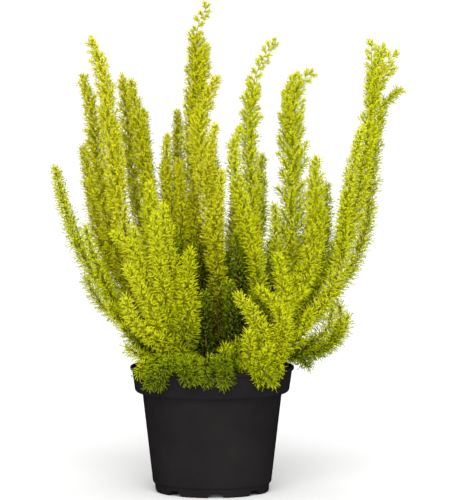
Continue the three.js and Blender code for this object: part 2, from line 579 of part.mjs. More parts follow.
// The skin of one spray: corners and the triangles between them
class Skin {
  corners = [];

  faces = [];

  corner(point) {
    this.corners.push(point);
    return this.corners.length - 1;
  }

  ring(place, shift, radius, turn, sides) {
    return Array.from({ length: sides }, (_, k) => {
      const out = outward(place, turn + (k * 2 * Math.PI) / sides);
      return this.corner(place.centre.clone().addScaledVector(place.up, shift).addScaledVector(out, radius));
    });
  }

  quad(lower, upper, k) {
    const next = (k + 1) % lower.length;
    return [lower[k], lower[next], upper[next], upper[k]];
  }

  band(lower, upper) {
    for (let k = 0; k < lower.length; k += 1) {
      const [a, b, c, d] = this.quad(lower, upper, k);
      this.faces.push([a, b, c], [a, c, d]);
    }
  }

  spike(base, tip) {
    base.forEach((corner, k) => this.faces.push([corner, base[(k + 1) % base.length], tip]));
  }

  // One face of a whorl carries two needles, each raised from half of it
  needles([a, b, c, d], [first, second]) {
    const halves = [[[a, b, c], first], [[a, c, d], second]];
    for (const [half, tip] of halves) {
      if (tip) this.spike(half, this.corner(tip));
      else this.faces.push(half);
    }
  }

  // A limb grows from the ring that it starts on, whorl by whorl, to its tip
  limb(limb, startRing, startTurn) {
    let last = startRing;
    let lastTurn = startTurn;
    const sector = (2 * Math.PI) / limb.sides;
    for (const whorl of limb.whorls) {
      const { place } = whorl;
      const shift = Math.round((whorl.turn - lastTurn) / sector);
      const turn = whorl.turn - shift * sector;
      const half = NEEDLE_ROOT_HEIGHT / 2;
      const lower = this.ring(place, -half, place.radius, turn, limb.sides);
      const upper = this.ring(place, half, place.radius, turn, limb.sides);
      this.band(last, lower);
      for (let k = 0; k < limb.sides; k += 1) {
        const face = this.quad(lower, upper, wrap(k + shift, limb.sides));
        const sprout = whorl.sprouts.find((one) => one.side === k);
        if (sprout) this.branch(sprout.limb, face);
        else this.needles(face, whorl.tips[k]);
      }
      last = upper;
      lastTurn = turn;
    }
    const end = limb.curve.getPointAt(1);
    this.spike(last, this.corner(end));
  }

  branch(limb, face) {
    const first = limb.whorls[0].place;
    const middle = new THREE.Vector3();
    face.forEach((k) => middle.addScaledVector(this.corners[k], 1 / face.length));
    const turn = bearingOf(first, this.corners[face[0]].clone().sub(middle));
    this.limb(limb, face, turn);
  }

  geometry() {
    const geometry = new THREE.BufferGeometry();
    const places = this.corners.flatMap((point) => point.toArray());
    geometry.setAttribute("position", new THREE.Float32BufferAttribute(places, 3));
    geometry.setIndex(this.faces.flat());
    return geometry;
  }
}

// The main stem starts in its hole and then follows its way
function rootedStem(entry) {
  const [{ reach, way }] = entry.stems;
  const { mouth, slant } = rooting(entry);
  const rises = [SEAT_GAP - HOLE_DEPTH, STRAIGHT_ABOVE_SOIL];
  const foot = rises.map((rise) => mouth.clone().addScaledVector(slant, rise));
  return makeLimb([...foot, ...way], STEM_LOW_RADIUS, STEM_SIDES, reach);
}

const plants = SPRAYS.map((entry) => {
  const trunk = rootedStem(entry);
  setWhorls(trunk, HOLE_DEPTH + BARE_ABOVE_SOIL);
  const forks = entry.stems.slice(1).map((side) => {
    const fork = branchOff(trunk, side);
    setWhorls(fork, BARE_ABOVE_FORK);
    return fork;
  });
  return { entry, trunk, stems: [trunk, ...forks] };
});
plants.forEach(({ stems }) => stems.forEach(standLimb));
plants.forEach(({ stems }) => stems.forEach((limb) => {
  limb.whorls.forEach((whorl) => trySideShoot(limb, whorl));
}));

function dress(limb) {
  for (const whorl of limb.whorls) {
    whorl.tips = Array.from({ length: limb.sides }, (_, k) => {
      const sprout = whorl.sprouts.find((one) => one.side === k);
      return sprout ? null : needleTips(limb, whorl, k);
    });
    whorl.sprouts.filter((one) => one.limb.reach === 0).forEach((one) => dress(one.limb));
  }
}
plants.forEach(({ stems }) => stems.forEach(dress));

function makeSpray({ trunk }) {
  const skin = new Skin();
  const base = placeOn(trunk, 0, new THREE.Vector3(1, 0, 0));
  const cap = skin.ring(base, 0, base.radius, 0, trunk.sides);
  skin.faces.push([...cap].reverse());
  skin.limb(trunk, cap, 0);
  return skin.geometry();
}

const group = new THREE.Group();

function addPiece(name, geometry, color, roughness) {
  geometry.computeVertexNormals();
  const material = new THREE.MeshStandardMaterial({ color, roughness, metalness: 0 });
  const mesh = new THREE.Mesh(geometry, material);
  mesh.name = name;
  group.add(mesh);
}

addPiece("pot", makePot(), POT_BLACK, POT_ROUGHNESS);
addPiece("soil", makeSoil(), SOIL_BROWN, SOIL_ROUGHNESS);
for (const plant of plants) {
  addPiece(`spray_${plant.entry.name}`, makeSpray(plant), plant.entry.color, LEAF_ROUGHNESS);
}

export default group;
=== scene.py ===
import math

import bpy
import numpy as np
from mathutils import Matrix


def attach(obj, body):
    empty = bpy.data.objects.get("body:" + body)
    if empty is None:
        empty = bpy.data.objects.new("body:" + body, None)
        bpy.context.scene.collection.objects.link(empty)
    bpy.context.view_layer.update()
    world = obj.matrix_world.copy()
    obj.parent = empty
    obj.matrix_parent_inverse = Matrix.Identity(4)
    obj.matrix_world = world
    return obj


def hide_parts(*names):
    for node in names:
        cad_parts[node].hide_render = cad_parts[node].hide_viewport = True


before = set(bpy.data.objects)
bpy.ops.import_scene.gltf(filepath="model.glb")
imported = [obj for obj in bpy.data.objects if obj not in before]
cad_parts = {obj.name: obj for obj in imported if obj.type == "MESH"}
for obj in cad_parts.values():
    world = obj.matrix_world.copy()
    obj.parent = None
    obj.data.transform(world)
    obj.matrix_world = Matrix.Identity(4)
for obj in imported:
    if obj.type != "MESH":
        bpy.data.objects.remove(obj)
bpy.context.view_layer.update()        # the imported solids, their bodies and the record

# Potted tree heath: fine needles along the stems of the imported sprays, potting soil and a moulded pot.
# Metres, +Z up. The pot stands on z = 0 with its axis on x = y = 0, and the front faces -Y.

# Tones of foliage from 0, old and dark, to 1, pale and new. SHADED is painted shade: a darker tone given to
# the sprays that stand in the bush's shade, inside it and at its back
YOUNG = 0.72
MATURE = 0.56
SHADED = 0.44

# Each spray in millimetres: its tone, where it leaves the soil, and its stems. A stem is the half width
# of its foliage and its way from its lowest point to its tip. The last eleven fill the inside of the
# bush and have no solid. A spray's random draws follow its place in this table.
SPRAYS = dict(
    left_outer=(MATURE, (-30, 4), [
        (7.2, (-72, 2, 141), (-86.8, 4, 164), (-103.5, 6, 189), (-118, 8, 230), (-124, 9, 256)),
        (6, (-84, -3, 156), (-91, -8, 181), (-98, -11, 203), (-100, -11, 211)),
        (6, (-66, -2, 133), (-74, -8, 139), (-81, -11, 149))]),
    left_bulge=(MATURE, (-26, 14), [
        (8, (-59, 17, 138), (-72, 20, 164), (-83, 21, 186), (-92, 23, 212), (-97, 25, 242),
             (-103, 27, 272))]),
    left_back=(MATURE, (-20, 8), [
        (8, (-55, 10, 143), (-70, 8, 176), (-81, 6, 206), (-88, 3, 238), (-92, 2, 273), (-96, 0, 305),
             (-102, 0, 330))]),
    left_tall=(YOUNG, (-22, -10), [
        (8.2, (-43, -14, 136), (-55, -19, 167), (-64, -22, 195), (-72, -24, 221), (-77, -26, 257),
             (-81, -27, 292), (-84, -27, 323), (-88, -26, 341), (-94.5, -27, 359.5)),
        (6, (-74, -20, 234), (-73, -12, 261), (-75, -10, 280), (-77, -10, 295))]),
    back_left=(MATURE, (-18, 24), [
        (7, (-45, 34, 157), (-54, 39, 193), (-62, 44, 230), (-66, 49, 266), (-69.5, 51, 302),
             (-72.5, 55, 327))]),
    mid_left=(MATURE, (-14, 14), [
        (8, (-39, 19, 158), (-47, 24, 198), (-52, 26, 234), (-57, 29, 274), (-61, 32, 304),
             (-65, 33, 324)),
        (6, (-45, 36, 202), (-49, 47, 230), (-52, 53, 262), (-54, 57, 284), (-55, 59, 300))]),
    centre_left=(MATURE, (-8, 10), [
        (7, (-22, 13, 158), (-29, 15, 194), (-33, 16, 222), (-36, 17, 254), (-36, 19, 281)),
        (6, (-22, 6, 190), (-24, 2, 218), (-25, 0, 242), (-27, 0, 263))]),
    centre_back=(SHADED, (-8, 24), [
        (7, (-16, 36, 157), (-22, 44, 197), (-26, 52, 238), (-28, 57, 272), (-28, 61, 299))]),
    centre_tall=(MATURE, (-3, 2), [
        (8, (-6, 5, 159), (-11, 7, 202), (-15, 10, 246), (-16, 11, 285), (-12.7, 12, 325),
             (-12.7, 13, 357), (-9.5, 12, 374.5), (-3, 9, 385.2)),
        (6, (-13, 4, 293), (-8, 0, 318), (-6, 0, 338), (-5, 0, 354))]),
    centre_front=(YOUNG, (6, -14), [
        (9, (7, -16, 132), (5, -19, 167), (2, -20, 203), (-4, -20, 238), (-9, -20, 273), (-8, -20, 300),
             (-2, -20, 317), (4, -21, 330)),
        (6, (-5, -28, 249), (-1, -35, 270), (3, -39, 293)),
        (7, (1, -27, 214), (6, -33, 236), (8, -37, 256))]),
    mid_front=(YOUNG, (22, -16), [
        (8, (36, -22, 140), (36, -23, 172), (31, -24, 199), (24, -26, 226), (18, -26, 257),
             (17, -28, 275), (22, -27, 290))]),
    mid_tall=(YOUNG, (16, 4), [
        (8, (32, 5, 151), (34, 7, 190), (30.8, 8, 226), (30.3, 11, 269), (31, 12, 305), (34, 13, 328),
             (40.5, 13, 343), (49, 13, 358))]),
    right_mid_tall=(YOUNG, (20, 14), [
        (11.5, (46, 17, 146), (58, 21, 182), (63.5, 24, 222), (64.2, 27, 262), (63.2, 29, 295),
             (67, 31, 318), (79, 32, 332)),
        (6, (63, 22, 282), (60, 19, 300), (60, 17, 316), (67, 17, 331)),
        (7, (53, 12, 170), (50, 9, 194), (50, 8, 227))]),
    right_inner=(YOUNG, (28, -8), [
        (10.2, (57, -12, 140), (69, -13, 163), (78, -14, 187), (82, -14, 213), (81, -15, 241),
             (82, -16, 266))]),
    right_back=(SHADED, (30, 14), [
        (7, (60, 21, 134), (74, 27, 153), (85, 32, 175), (91, 35, 196), (91, 38, 220), (91, 41, 241)),
        (7, (68, 24, 146), (77, 22, 172), (85, 20, 200), (88, 20, 222))]),
    right_tall=(YOUNG, (34, -4), [
        (8.2, (61, -7, 123), (78, -8, 139), (91, -9, 155), (101, -10, 181), (109, -9, 209),
             (116, -10, 242), (121, -9, 273), (125, -10, 304), (128, -8, 330), (135, -9, 354)),
        (6.6, (105, -19, 196), (104, -27, 221), (108, -31, 249), (113, -33, 272), (117, -35, 290)),
        (4, (127, -8, 320), (126, 0, 336), (126, 4, 356)),
        (4, (127, -12, 316), (131, -23, 332), (144, -29, 350)),
        (4, (127, -4, 306), (133, 6, 323), (143, 13, 339))]),
    right_outer=(MATURE, (36, 8), [
        (6.8, (63, 14, 126), (84, 17, 142), (100, 20, 160), (113.5, 21, 182), (122.5, 23, 207),
             (125.5, 23, 238), (128, 23, 266), (132, 23, 290), (137, 22, 306), (149, 22, 318))]),
    right_low=(MATURE, (40, 0), [
        (7, (60, 4, 108), (76, 5, 108), (90, 7, 114), (100, 7, 124), (102, 7, 135), (100.5, 7, 147)),
        (7, (74, 5, 110), (88, 14, 112), (102, 18, 122), (108, 19, 136)),
        (7, (66, 4, 110), (80, -4, 119), (92, -6, 131), (95, -6, 146)),
        (7, (70, 6, 107), (84, 10, 111), (95, 12, 120), (100, 12, 131)),
        (5, (66, 0, 108.5), (72, -6, 105), (76, -12, 101))]),
    right_low_inner=(MATURE, (32, -16), [
        (6, (56, -22, 115), (66, -25, 121), (74, -27, 133), (77, -28, 146))]),
    front_left=(YOUNG, (-30, -28), [
        (10.5, (-29, -34, 118), (-31, -39, 145), (-33, -44, 176), (-37, -47, 203), (-38, -49, 230)),
        (9, (-33, -46, 138), (-38, -54, 165), (-42, -59, 192), (-44, -62, 225))]),
    front_left_outer=(YOUNG, (-38, -32), [
        (9, (-37, -43, 116), (-44, -50, 138), (-51, -55, 157), (-59, -58, 172), (-66, -59, 184)),
        (8, (-44, -44, 141), (-50, -43, 164), (-61, -43, 195), (-77, -45, 208)),
        (8, (-40, -55, 128), (-54, -60, 134), (-63, -64, 146), (-67, -66, 160))]),
    front_mid_left=(MATURE, (-20, -36), [
        (10.5, (-22, -46, 121), (-20, -53, 146), (-19, -58, 169), (-17, -62, 197))]),
    left_mid=(YOUNG, (-22, -20), [
        (10, (-38, -26, 148), (-43, -30, 179), (-46, -33, 207), (-48, -34, 230), (-49, -36, 248)),
        (9, (-44, -34, 160), (-54, -38, 180), (-61, -40, 211))]),
    front_right=(YOUNG, (24, -34), [
        (10, (38, -46, 116), (38, -52, 132), (33, -55, 144), (20, -59, 161))]),
    front_right_outer=(YOUNG, (32, -27), [
        (10, (52, -38, 118), (56, -43, 134), (51, -47, 151), (37, -49, 165)),
        (9, (57, -36, 141), (56, -36, 160), (52, -36, 190)),
        (8, (56, -29, 138), (61, -27, 152), (72, -25, 162))]),
    rear_left=(MATURE, (-30, 28), [
        (8, (-60, 44, 150), (-77, 52, 196), (-84, 56, 240))]),
    rear_left_low=(MATURE, (-36, 20), [
        (7, (-62, 48, 122), (-80, 68, 150), (-90, 78, 192)),
        (6, (-66, 52, 128), (-88, 57, 142), (-102, 60, 164))]),
    rear_mid_left=(MATURE, (-16, 34), [
        (8, (-26, 56, 150), (-34, 66, 205), (-40, 68, 256)),
        (6, (-28, 62, 172), (-20, 76, 196), (-17, 80, 226))]),
    rear_mid=(MATURE, (2, 34), [
        (8, (4, 54, 150), (3, 66, 210), (0, 70, 270))]),
    rear_low=(YOUNG, (-4, 46), [
        (7, (-8, 68, 125), (-6, 84, 160), (-4, 90, 202)),
        (6, (-7, 74, 134), (-22, 88, 148), (-30, 94, 168))]),
    rear_mid_right=(MATURE, (14, 26), [
        (8, (30, 46, 150), (37, 58, 206), (40, 62, 262))]),
    rear_right=(MATURE, (26, 26), [
        (8, (56, 46, 145), (74, 58, 188), (84, 64, 236))]),
    rear_right_low=(YOUNG, (34, 34), [
        (7, (48, 57, 124), (64, 78, 152), (70, 86, 190)),
        (6, (60, 68, 138), (80, 74, 152), (94, 76, 176))]),
    rim_left=(YOUNG, (-38, -18), [
        (7.5, (-45, -32, 105), (-55, -37, 111), (-66, -37, 118.5)),
        (5, (-45, -33, 106), (-49, -43, 107), (-53, -51, 105), (-57, -56, 99))]),
    rim_front_left=(MATURE, (-26, -38), [
        (6, (-31, -49, 104), (-37, -59, 105), (-44, -66, 99), (-49, -67, 92)),
        (5, (-31, -51, 105), (-19, -66, 104), (-9, -73, 97))]),
    rim_front=(MATURE, (3, -38), [
        (5, (6, -50, 101), (8, -59, 105), (9, -68, 102), (8, -76, 93)),
        (5, (7, -51, 102), (9, -57, 112), (11, -59, 120))]),
    rim_front_inner=(SHADED, (10, -35), [
        (5, (14, -49, 104), (17, -54, 113), (20, -56, 124))]),
    rim_front_right=(YOUNG, (21, -42), [
        (6, (28, -51, 105), (29, -60, 119), (28, -63, 132)),
        (5, (29, -55, 109), (40, -60, 112), (45, -64, 121)),
        (5, (29, -53, 106), (39, -64, 104), (48, -70, 94))]),
    rim_right=(MATURE, (42, 13), [
        (6, (54, 18, 104), (67, 23, 108), (80, 30, 118)),
        (5, (60, 20, 106), (66, 30, 107), (70, 35, 106))]),
    rim_rear_left=(MATURE, (-28, 38), [
        (6, (-36, 47, 105), (-46, 60, 109), (-54, 69, 118)),
        (5, (-38, 50, 106), (-39, 68, 104), (-38, 76, 95))]),
    rim_rear_right=(MATURE, (20, 44), [
        (6, (24, 53, 105), (29, 67, 110), (32, 78, 120)),
        (5, (25, 56, 106), (39, 68, 104), (48, 72, 96))]),
    centre_low=(SHADED, (-2, -30), [
        (7, (-4, -34, 115), (-6, -36, 140), (-5, -38, 160))]),
    centre_low_right=(SHADED, (12, -28), [
        (7, (14, -32, 118), (15, -35, 146), (13, -37, 168))]),
    mid_low=(SHADED, (15, -6), [
        (8, (19, -8, 125), (21, -10, 165), (19, -11, 205))]),
    inner_left=(SHADED, (-12, -6), [
        (10, (-18, -4, 120), (-26, -1, 160), (-30, 3, 204))]),
    low_left=(MATURE, (-34, -6), [
        (8, (-50, -12, 112), (-62, -15, 122), (-70, -18, 133))]),
    inner_mid_left=(SHADED, (-9, 0), [
        (10, (-10, 3, 120), (-13, 9, 165), (-13, 14, 214))]),
    inner_mid_right=(SHADED, (12, 10), [
        (10, (16, 12, 120), (23, 17, 165), (25, 22, 214))]),
    inner_mid=(SHADED, (4, 8), [
        (11, (4, 11, 120), (4, 15, 160), (2, 19, 206))]),
    inner_right=(SHADED, (22, 4), [
        (10, (32, 6, 120), (42, 10, 155), (47, 14, 196))]),
    inner_far_right=(SHADED, (30, 1), [
        (8, (48, 0, 118), (66, 2, 134), (80, 4, 154), (92, 5, 176), (103, 6, 205), (109, 7, 235))]),
    mid_back=(MATURE, (4, 18), [
        (9, (9, 22, 140), (14, 25, 182), (18, 27, 222), (19, 28, 240)),
        (8, (10, 24, 150), (22, 30, 172), (27, 34, 204))]),
)

# Sprays whose foliage has a golden cast
GOLDEN = {"left_tall", "left_back", "left_bulge", "back_left", "mid_left", "centre_left", "centre_back",
          "centre_tall", "centre_front", "mid_back"}

# Pot and soil
POT_HEIGHT = 0.100
LIP_RADIUS = 0.065
BAND_TOP_RADIUS = 0.0635
BAND_LOW_RADIUS = 0.0615
BAND_LOW_Z = 0.0835
NECK_RADIUS = 0.0552
NECK_Z = 0.079
BODY_LOW_RADIUS = 0.0472
BODY_LOW_Z = 0.008
FOOT_RADIUS = 0.0452
FOOT_INNER = 0.035
FLOOR_LOW_Z = 0.0045
FLOOR_TOP_Z = FLOOR_LOW_Z + 0.0022
BOSS_RADIUS = 0.013
WALL = 0.0018
SOIL_CROWN_Z = 0.089
SOIL_CROWN_RADIUS = 0.050
SOIL_EDGE_Z = 0.086
SOIL_RADIUS = BAND_LOW_RADIUS - WALL - 0.0006
ROOT_DEPTH = 0.0105
STEM_OUT = 0.001
GAP_TO_POT = 0.0004

# Stems
SPRAY_SEED = 1000
SAMPLE_STEP = 0.001
CURVE_STEPS = 24
STEM_SIDES = 6
STEM_RING_STEP = 5
STEM_LOW_RADIUS = 0.0015
FORK_LOW_RADIUS = 0.0009
STEM_TIP_RADIUS = 0.0003
STEM_TAPER = 0.8
FORK_SLANT = 1.2
BARK_ROUGHNESS = 0.07
BARK_SPREAD = 0.08

# Side shoots, the first from a stem's base and the last from its tip
FIRST_SHOOT = 0.010
FORK_SHOOT = 0.004
LAST_SHOOT = 0.002
SHORTEST_SHOOT = 0.0020
SHOOT_SIDES = 3
SHOOT_RADIUS = 0.00046
SHOOT_TAPER = (1.0, 0.8, 0.45)
SHOOT_RINGS = (0.0, 0.55, 1.0)
SHOOT_LENGTHS = (0.66, 1.12)
LONG_SHOOT_EVERY = 5
LONG_SHOOT_GROWTH = 1.35
LONG_SHOOT_STEEP = 0.75
LONG_SHOOT_BELOW = 0.24
GOLDEN_TURN = math.pi * (3 - math.sqrt(5))
OLD_BARK_FROM_TIP = 0.2

# The foliage's half width grows from the tip's reach to the stem's own over the tip's zone
TIP_ZONE = 0.065
TIP_REACH = 0.0043
TIP_SHAPE = 0.55
FULLNESS = 1.20
NEEDLE_REACH_SHARE = 0.62
SHOOT_LEAN = 0.74

# Needles
WHORL_NEEDLES = 4
FIRST_WHORL = 0.1
FEWEST_WHORLS = 3
WHORLED_SHARE = 0.92
STEM_WHORL_TURN = 1.1
SHOOT_WHORL_TURN = math.pi / 3
NEEDLE_LENGTH_RANGE = (0.8, 1.1)
NEEDLE_WIDTH_RANGE = (0.85, 1.15)
PITCH_SPREAD = 0.14
YOUNG_SHORTER = 0.12
NEEDLE_BEND = 0.7
NEEDLE_TIP_HALF = 0.36
STEM_NEEDLE_EASE = 0.72
SHOOT_NEEDLE_EASE = 0.78
CLOSED_TIP = 0.004
TONE_SPREAD = 0.035
BASE_TONE = -0.08
TONE_TO_SHOOT_TIP = 0.12
STEM_YOUNG_TONE = 0.12
SHOOT_YOUNG_TONE = 0.05

# By height: needles are long and spread wide low on the plant, short and steep at its tops
HEIGHTS = (0.12, 0.18, 0.24, 0.30, 0.35)
NEEDLE_LENGTHS = (0.0082, 0.0073, 0.0057, 0.0045, 0.0038)
NEEDLE_WIDTHS = (0.00080, 0.00084, 0.00092, 0.00096, 0.00092)
NEEDLE_PITCHES = np.radians((70, 66, 60, 55, 52))
WHORL_STEPS = (0.00126, 0.00124, 0.00116, 0.00100, 0.00090)
STEM_WHORL_STEPS = (0.0014, 0.0014, 0.0013, 0.0012, 0.0011)
SHOOT_STEPS = (0.0023, 0.0020, 0.0017, 0.0015, 0.0013)
HEIGHT_TONES = (0.01, -0.01, -0.01, 0.00, 0.03)
SHOOT_START_PITCHES = np.radians((50, 50, 52, 55, 57))
SHOOT_END_PITCHES = np.radians((24, 26, 29, 33, 35))

# Painted shade, partly the darker green of old foliage: foliage low in the bush's middle is darkened most,
# and a skirt of it over the rim less
DEEP_SHADE = 1.12
SHADE_TOP_Z, SHADE_DEPTH = 0.215, 0.095
SHADE_HALF_WIDTHS = (0.085, 0.065)
SKIRT_TOP_Z, SKIRT_DEPTH, SKIRT_SHAPE, SKIRT_SHADE = 0.145, 0.045, 1.5, 0.37

# Tops that carry only small tufts on a bare stem, and how long they are
OPEN_TOPS = {"centre_tall": 0.026, "mid_tall": 0.040, "right_mid_tall": 0.016}
OPEN_FORKS = {"right_tall": 0.024}
OPEN_FORK_REACH = 0.005
TUFT_STEP = 0.0030
TUFT_LENGTH = 0.0050
TUFT_CROWDING = 1.5
TUFT_TONE = 0.05
LAST_TUFT = 0.003
TIP_NEEDLES = 0.0035

# Short shoots that spread over the rim from a spray: the bearing in degrees from +X, and the drop in mm
RIM_SHOOT_REACH = 0.0062
RIM_SHOOT_RADII = (0.036, 0.048, 0.058, 0.0675, 0.0725)
OVER_RIM = {
    "rim_front_left": ((-134, 6), (-122, 9), (-112, 5)),
    "rim_front": ((-102, 3), (-92, 6)),
    "rim_front_inner": ((-80, 4), (-70, 7)),
    "rim_front_right": ((-60, 5), (-50, 4), (-39, 1)),
    "rim_rear_right": ((48, 2), (66, 6), (82, 3)),
    "rim_rear_left": ((104, 4), (124, 6)),
}

# The foliage's colour map: across it runs root to tip, up it runs dark to pale, and stems lie above
COLOUR_MAP = "OFBake"
NEEDLE_BAND = 0.86
STEM_BAND = 0.90
NEEDLE_MAP_ACROSS = (0.10, 0.14, 0.90, 0.94)
NEEDLE_MAP_LIFT = (0.0, 0.006, 0.0, 0.006)


def between(low, high, share):
    return low + (high - low) * share


def by_height(heights, values):
    return np.interp(heights, HEIGHTS, values)


def unit(vectors):
    return vectors / np.maximum(np.linalg.norm(vectors, axis=-1, keepdims=True), 1e-12)


def metres(values):
    """Metres from millimetres with at most one decimal."""
    return tuple(round(value * 10) / 10000 for value in values)


def add_object(name, data):
    item = bpy.data.objects.new(name, data)
    bpy.context.scene.collection.objects.link(item)
    return item


def smooth_way(points):
    """Points a step apart on the centripetal Catmull-Rom curve through the given ones."""
    points = np.asarray(points, float)
    ends = 2 * points[0] - points[1], 2 * points[-1] - points[-2]
    knots = np.vstack([ends[0], points, ends[1]])
    dense = []
    for p0, p1, p2, p3 in zip(knots, knots[1:], knots[2:], knots[3:]):
        d0, d1, d2 = (math.sqrt(np.linalg.norm(b - a)) for a, b in ((p0, p1), (p1, p2), (p2, p3)))
        leave = ((p1 - p0) / d0 - (p2 - p0) / (d0 + d1) + (p2 - p1) / d1) * d1
        arrive = ((p2 - p1) / d1 - (p3 - p1) / (d1 + d2) + (p3 - p2) / d2) * d1
        t = np.linspace(0, 1, CURVE_STEPS, endpoint=False)[:, None]
        dense.append((2 * t**3 - 3 * t**2 + 1) * p1 + (t**3 - 2 * t**2 + t) * leave
                     + (3 * t**2 - 2 * t**3) * p2 + (t**3 - t**2) * arrive)
    dense = np.vstack(dense + [points[-1:]])
    along = np.concatenate([[0], np.cumsum(np.linalg.norm(np.diff(dense, axis=0), axis=1))])
    count = max(int(along[-1] / SAMPLE_STEP), 4) + 1
    at = np.linspace(0, along[-1], count)
    return np.stack([np.interp(at, along, dense[:, k]) for k in range(3)], 1)


def axes_along(places):
    """Up, side and across at each place, carried along the way without a twist."""
    up = unit(np.gradient(places, axis=0))
    side = np.zeros_like(up)
    last = np.array([1.0, 0.0, 0.0])
    for k, direction in enumerate(up):
        last = last - direction * last.dot(direction)
        last /= np.linalg.norm(last)
        side[k] = last
    return up, side, np.cross(up, side)


def soil_height(radius):
    share = np.clip((radius - SOIL_CROWN_RADIUS) / (SOIL_RADIUS - SOIL_CROWN_RADIUS), 0, 1)
    return between(SOIL_CROWN_Z, SOIL_EDGE_Z, share)


def touches_pot(points):
    """True where a point lies in the pot's wall or the soil, or nearer to them than the gap."""
    radius = np.hypot(points[:, 0], points[:, 1])
    near = (radius < LIP_RADIUS + GAP_TO_POT) & (points[:, 2] < POT_HEIGHT + GAP_TO_POT)
    inside_rim = radius < BAND_LOW_RADIUS - WALL - GAP_TO_POT
    return near & ~(inside_rim & (points[:, 2] > soil_height(radius) + GAP_TO_POT))


class Builder:
    """Gathers corners, faces and each corner's place on the colour map, and makes one mesh of them."""

    def __init__(self):
        self.corners, self.faces, self.places, self.count = [], [], [], 0

    def add(self, corners, faces, places):
        """corners is (n, 3), faces is (m, 3) into them, and places is (n, 2)."""
        self.corners.append(corners)
        self.faces.append(faces + self.count)
        self.places.append(places)
        self.count += len(corners)

    def piece(self, name, material):
        corners = np.vstack(self.corners)
        faces = np.vstack(self.faces).astype(np.int32)
        places = np.vstack(self.places)
        mesh = bpy.data.meshes.new(name)
        mesh.vertices.add(len(corners))
        mesh.vertices.foreach_set("co", corners.astype(np.float32).ravel())
        mesh.loops.add(faces.size)
        mesh.loops.foreach_set("vertex_index", faces.ravel())
        mesh.polygons.add(len(faces))
        mesh.polygons.foreach_set("loop_start", np.arange(0, faces.size, 3, dtype=np.int32))
        layer = mesh.uv_layers.new(name=COLOUR_MAP)
        layer.uv.foreach_set("vector", places[faces.ravel()].astype(np.float32).ravel())
        mesh.update()
        mesh.validate()
        smooth_faces(mesh)
        mesh.materials.append(material)
        return add_object(name, mesh)


def smooth_faces(mesh):
    mesh.polygons.foreach_set("use_smooth", np.ones(len(mesh.polygons), bool))


def tube(builder, places, radii, axes, sides, colour, rough=0.0, draw=None):
    """A closed tube that ends in a point. colour is 0 for tan to 1 for dark bark, for each ring."""
    up, side, across = axes
    turn = np.arange(sides) * 2 * math.pi / sides
    ring = side[:, None] * np.cos(turn)[None, :, None] + across[:, None] * np.sin(turn)[None, :, None]
    reach = np.repeat(radii[:, None], sides, 1)
    if rough:
        reach = reach * (1 + rough * draw.standard_normal(reach.shape))
    rings = places[:, None] + ring * reach[:, :, None]
    count = len(places)
    tip = places[-1] + up[-1] * radii[-1] * 2
    corners = np.vstack([rings.reshape(-1, 3), places[:1], tip[None]])
    k = np.arange(sides)
    following = (k + 1) % sides
    faces = []
    for i in range(count - 1):
        a, b = i * sides + k, i * sides + following
        c, d = b + sides, a + sides
        faces += [np.stack([a, b, c], 1), np.stack([a, c, d], 1)]
    last = (count - 1) * sides
    faces.append(np.stack([following, k, np.full(sides, count * sides)], 1))
    faces.append(np.stack([last + k, last + following, np.full(sides, count * sides + 1)], 1))
    map_across = np.repeat(np.clip(colour, 0, 1), sides)
    map_up = np.tile(STEM_BAND + 0.01 + 0.08 * k / sides, count)
    ends = np.array([[map_across[0], STEM_BAND + 0.05], [map_across[-1], STEM_BAND + 0.05]])
    builder.add(corners, np.vstack(faces), np.vstack([np.stack([map_across, map_up], 1), ends]))


def add_needles(builder, root, start, end, length, width, tone):
    """Slim needles of four faces, with a short edge at the root and one across it near the tip."""
    tip = root + unit(start * NEEDLE_BEND + end) * length[:, None]
    side = unit(np.cross(start, end + np.array([0.013, 0.007, 0.011])))
    face = np.cross(side, start)
    touching = touches_pot(tip) | touches_pot(between(root, tip, 0.5)) | touches_pot(between(root, tip, 0.75))
    root, tip, side, face = (x[~touching] for x in (root, tip, side, face))
    width, tone = width[~touching, None], tone[~touching]
    corners = np.stack([root - side * width * 0.5, root + side * width * 0.5,
                        tip - face * width * NEEDLE_TIP_HALF, tip + face * width * NEEDLE_TIP_HALF], 1)
    shape = np.array([[0, 1, 2], [1, 0, 3], [2, 3, 0], [3, 2, 1]])
    count = len(root)
    faces = (shape[None] + 4 * np.arange(count)[:, None, None]).reshape(-1, 3)
    across = np.tile(NEEDLE_MAP_ACROSS, count)
    lift = np.tile(NEEDLE_MAP_LIFT, count)
    places = np.stack([across, np.repeat(np.clip(tone, 0.01, 0.99), 4) * NEEDLE_BAND + lift], 1)
    builder.add(corners.reshape(-1, 3), faces, places)


def foliage_reach(reach, from_tip):
    """The half width of the foliage: slender at the tip and full below it."""
    return between(TIP_REACH, reach * FULLNESS, np.minimum(1, from_tip / TIP_ZONE) ** TIP_SHAPE)


def leaning(up, out, pitch):
    """Directions that lean outwards from up by the pitch."""
    return up * np.cos(pitch)[:, None] + out * np.sin(pitch)[:, None]


def inner_shade(places):
    """Painted shade, partly the darker green of old foliage: 1 low in the bush's middle, falling to 0 high up
    and outside.
    """
    low = np.clip((SHADE_TOP_Z - places[:, 2]) / SHADE_DEPTH, 0, 1)
    from_axis = np.hypot(places[:, 0] / SHADE_HALF_WIDTHS[0], places[:, 1] / SHADE_HALF_WIDTHS[1])
    middle = np.clip(1 - from_axis, 0, 1)
    skirt = np.clip((SKIRT_TOP_Z - places[:, 2]) / SKIRT_DEPTH, 0, 1) ** SKIRT_SHAPE
    return np.maximum(low * middle, SKIRT_SHADE * skirt)


def tone_at(places, tone):
    # Painted shade darkens the tone low in the bush's middle and on the skirt over the rim
    return tone + by_height(places[:, 2], HEIGHT_TONES) - DEEP_SHADE * inner_shade(places)


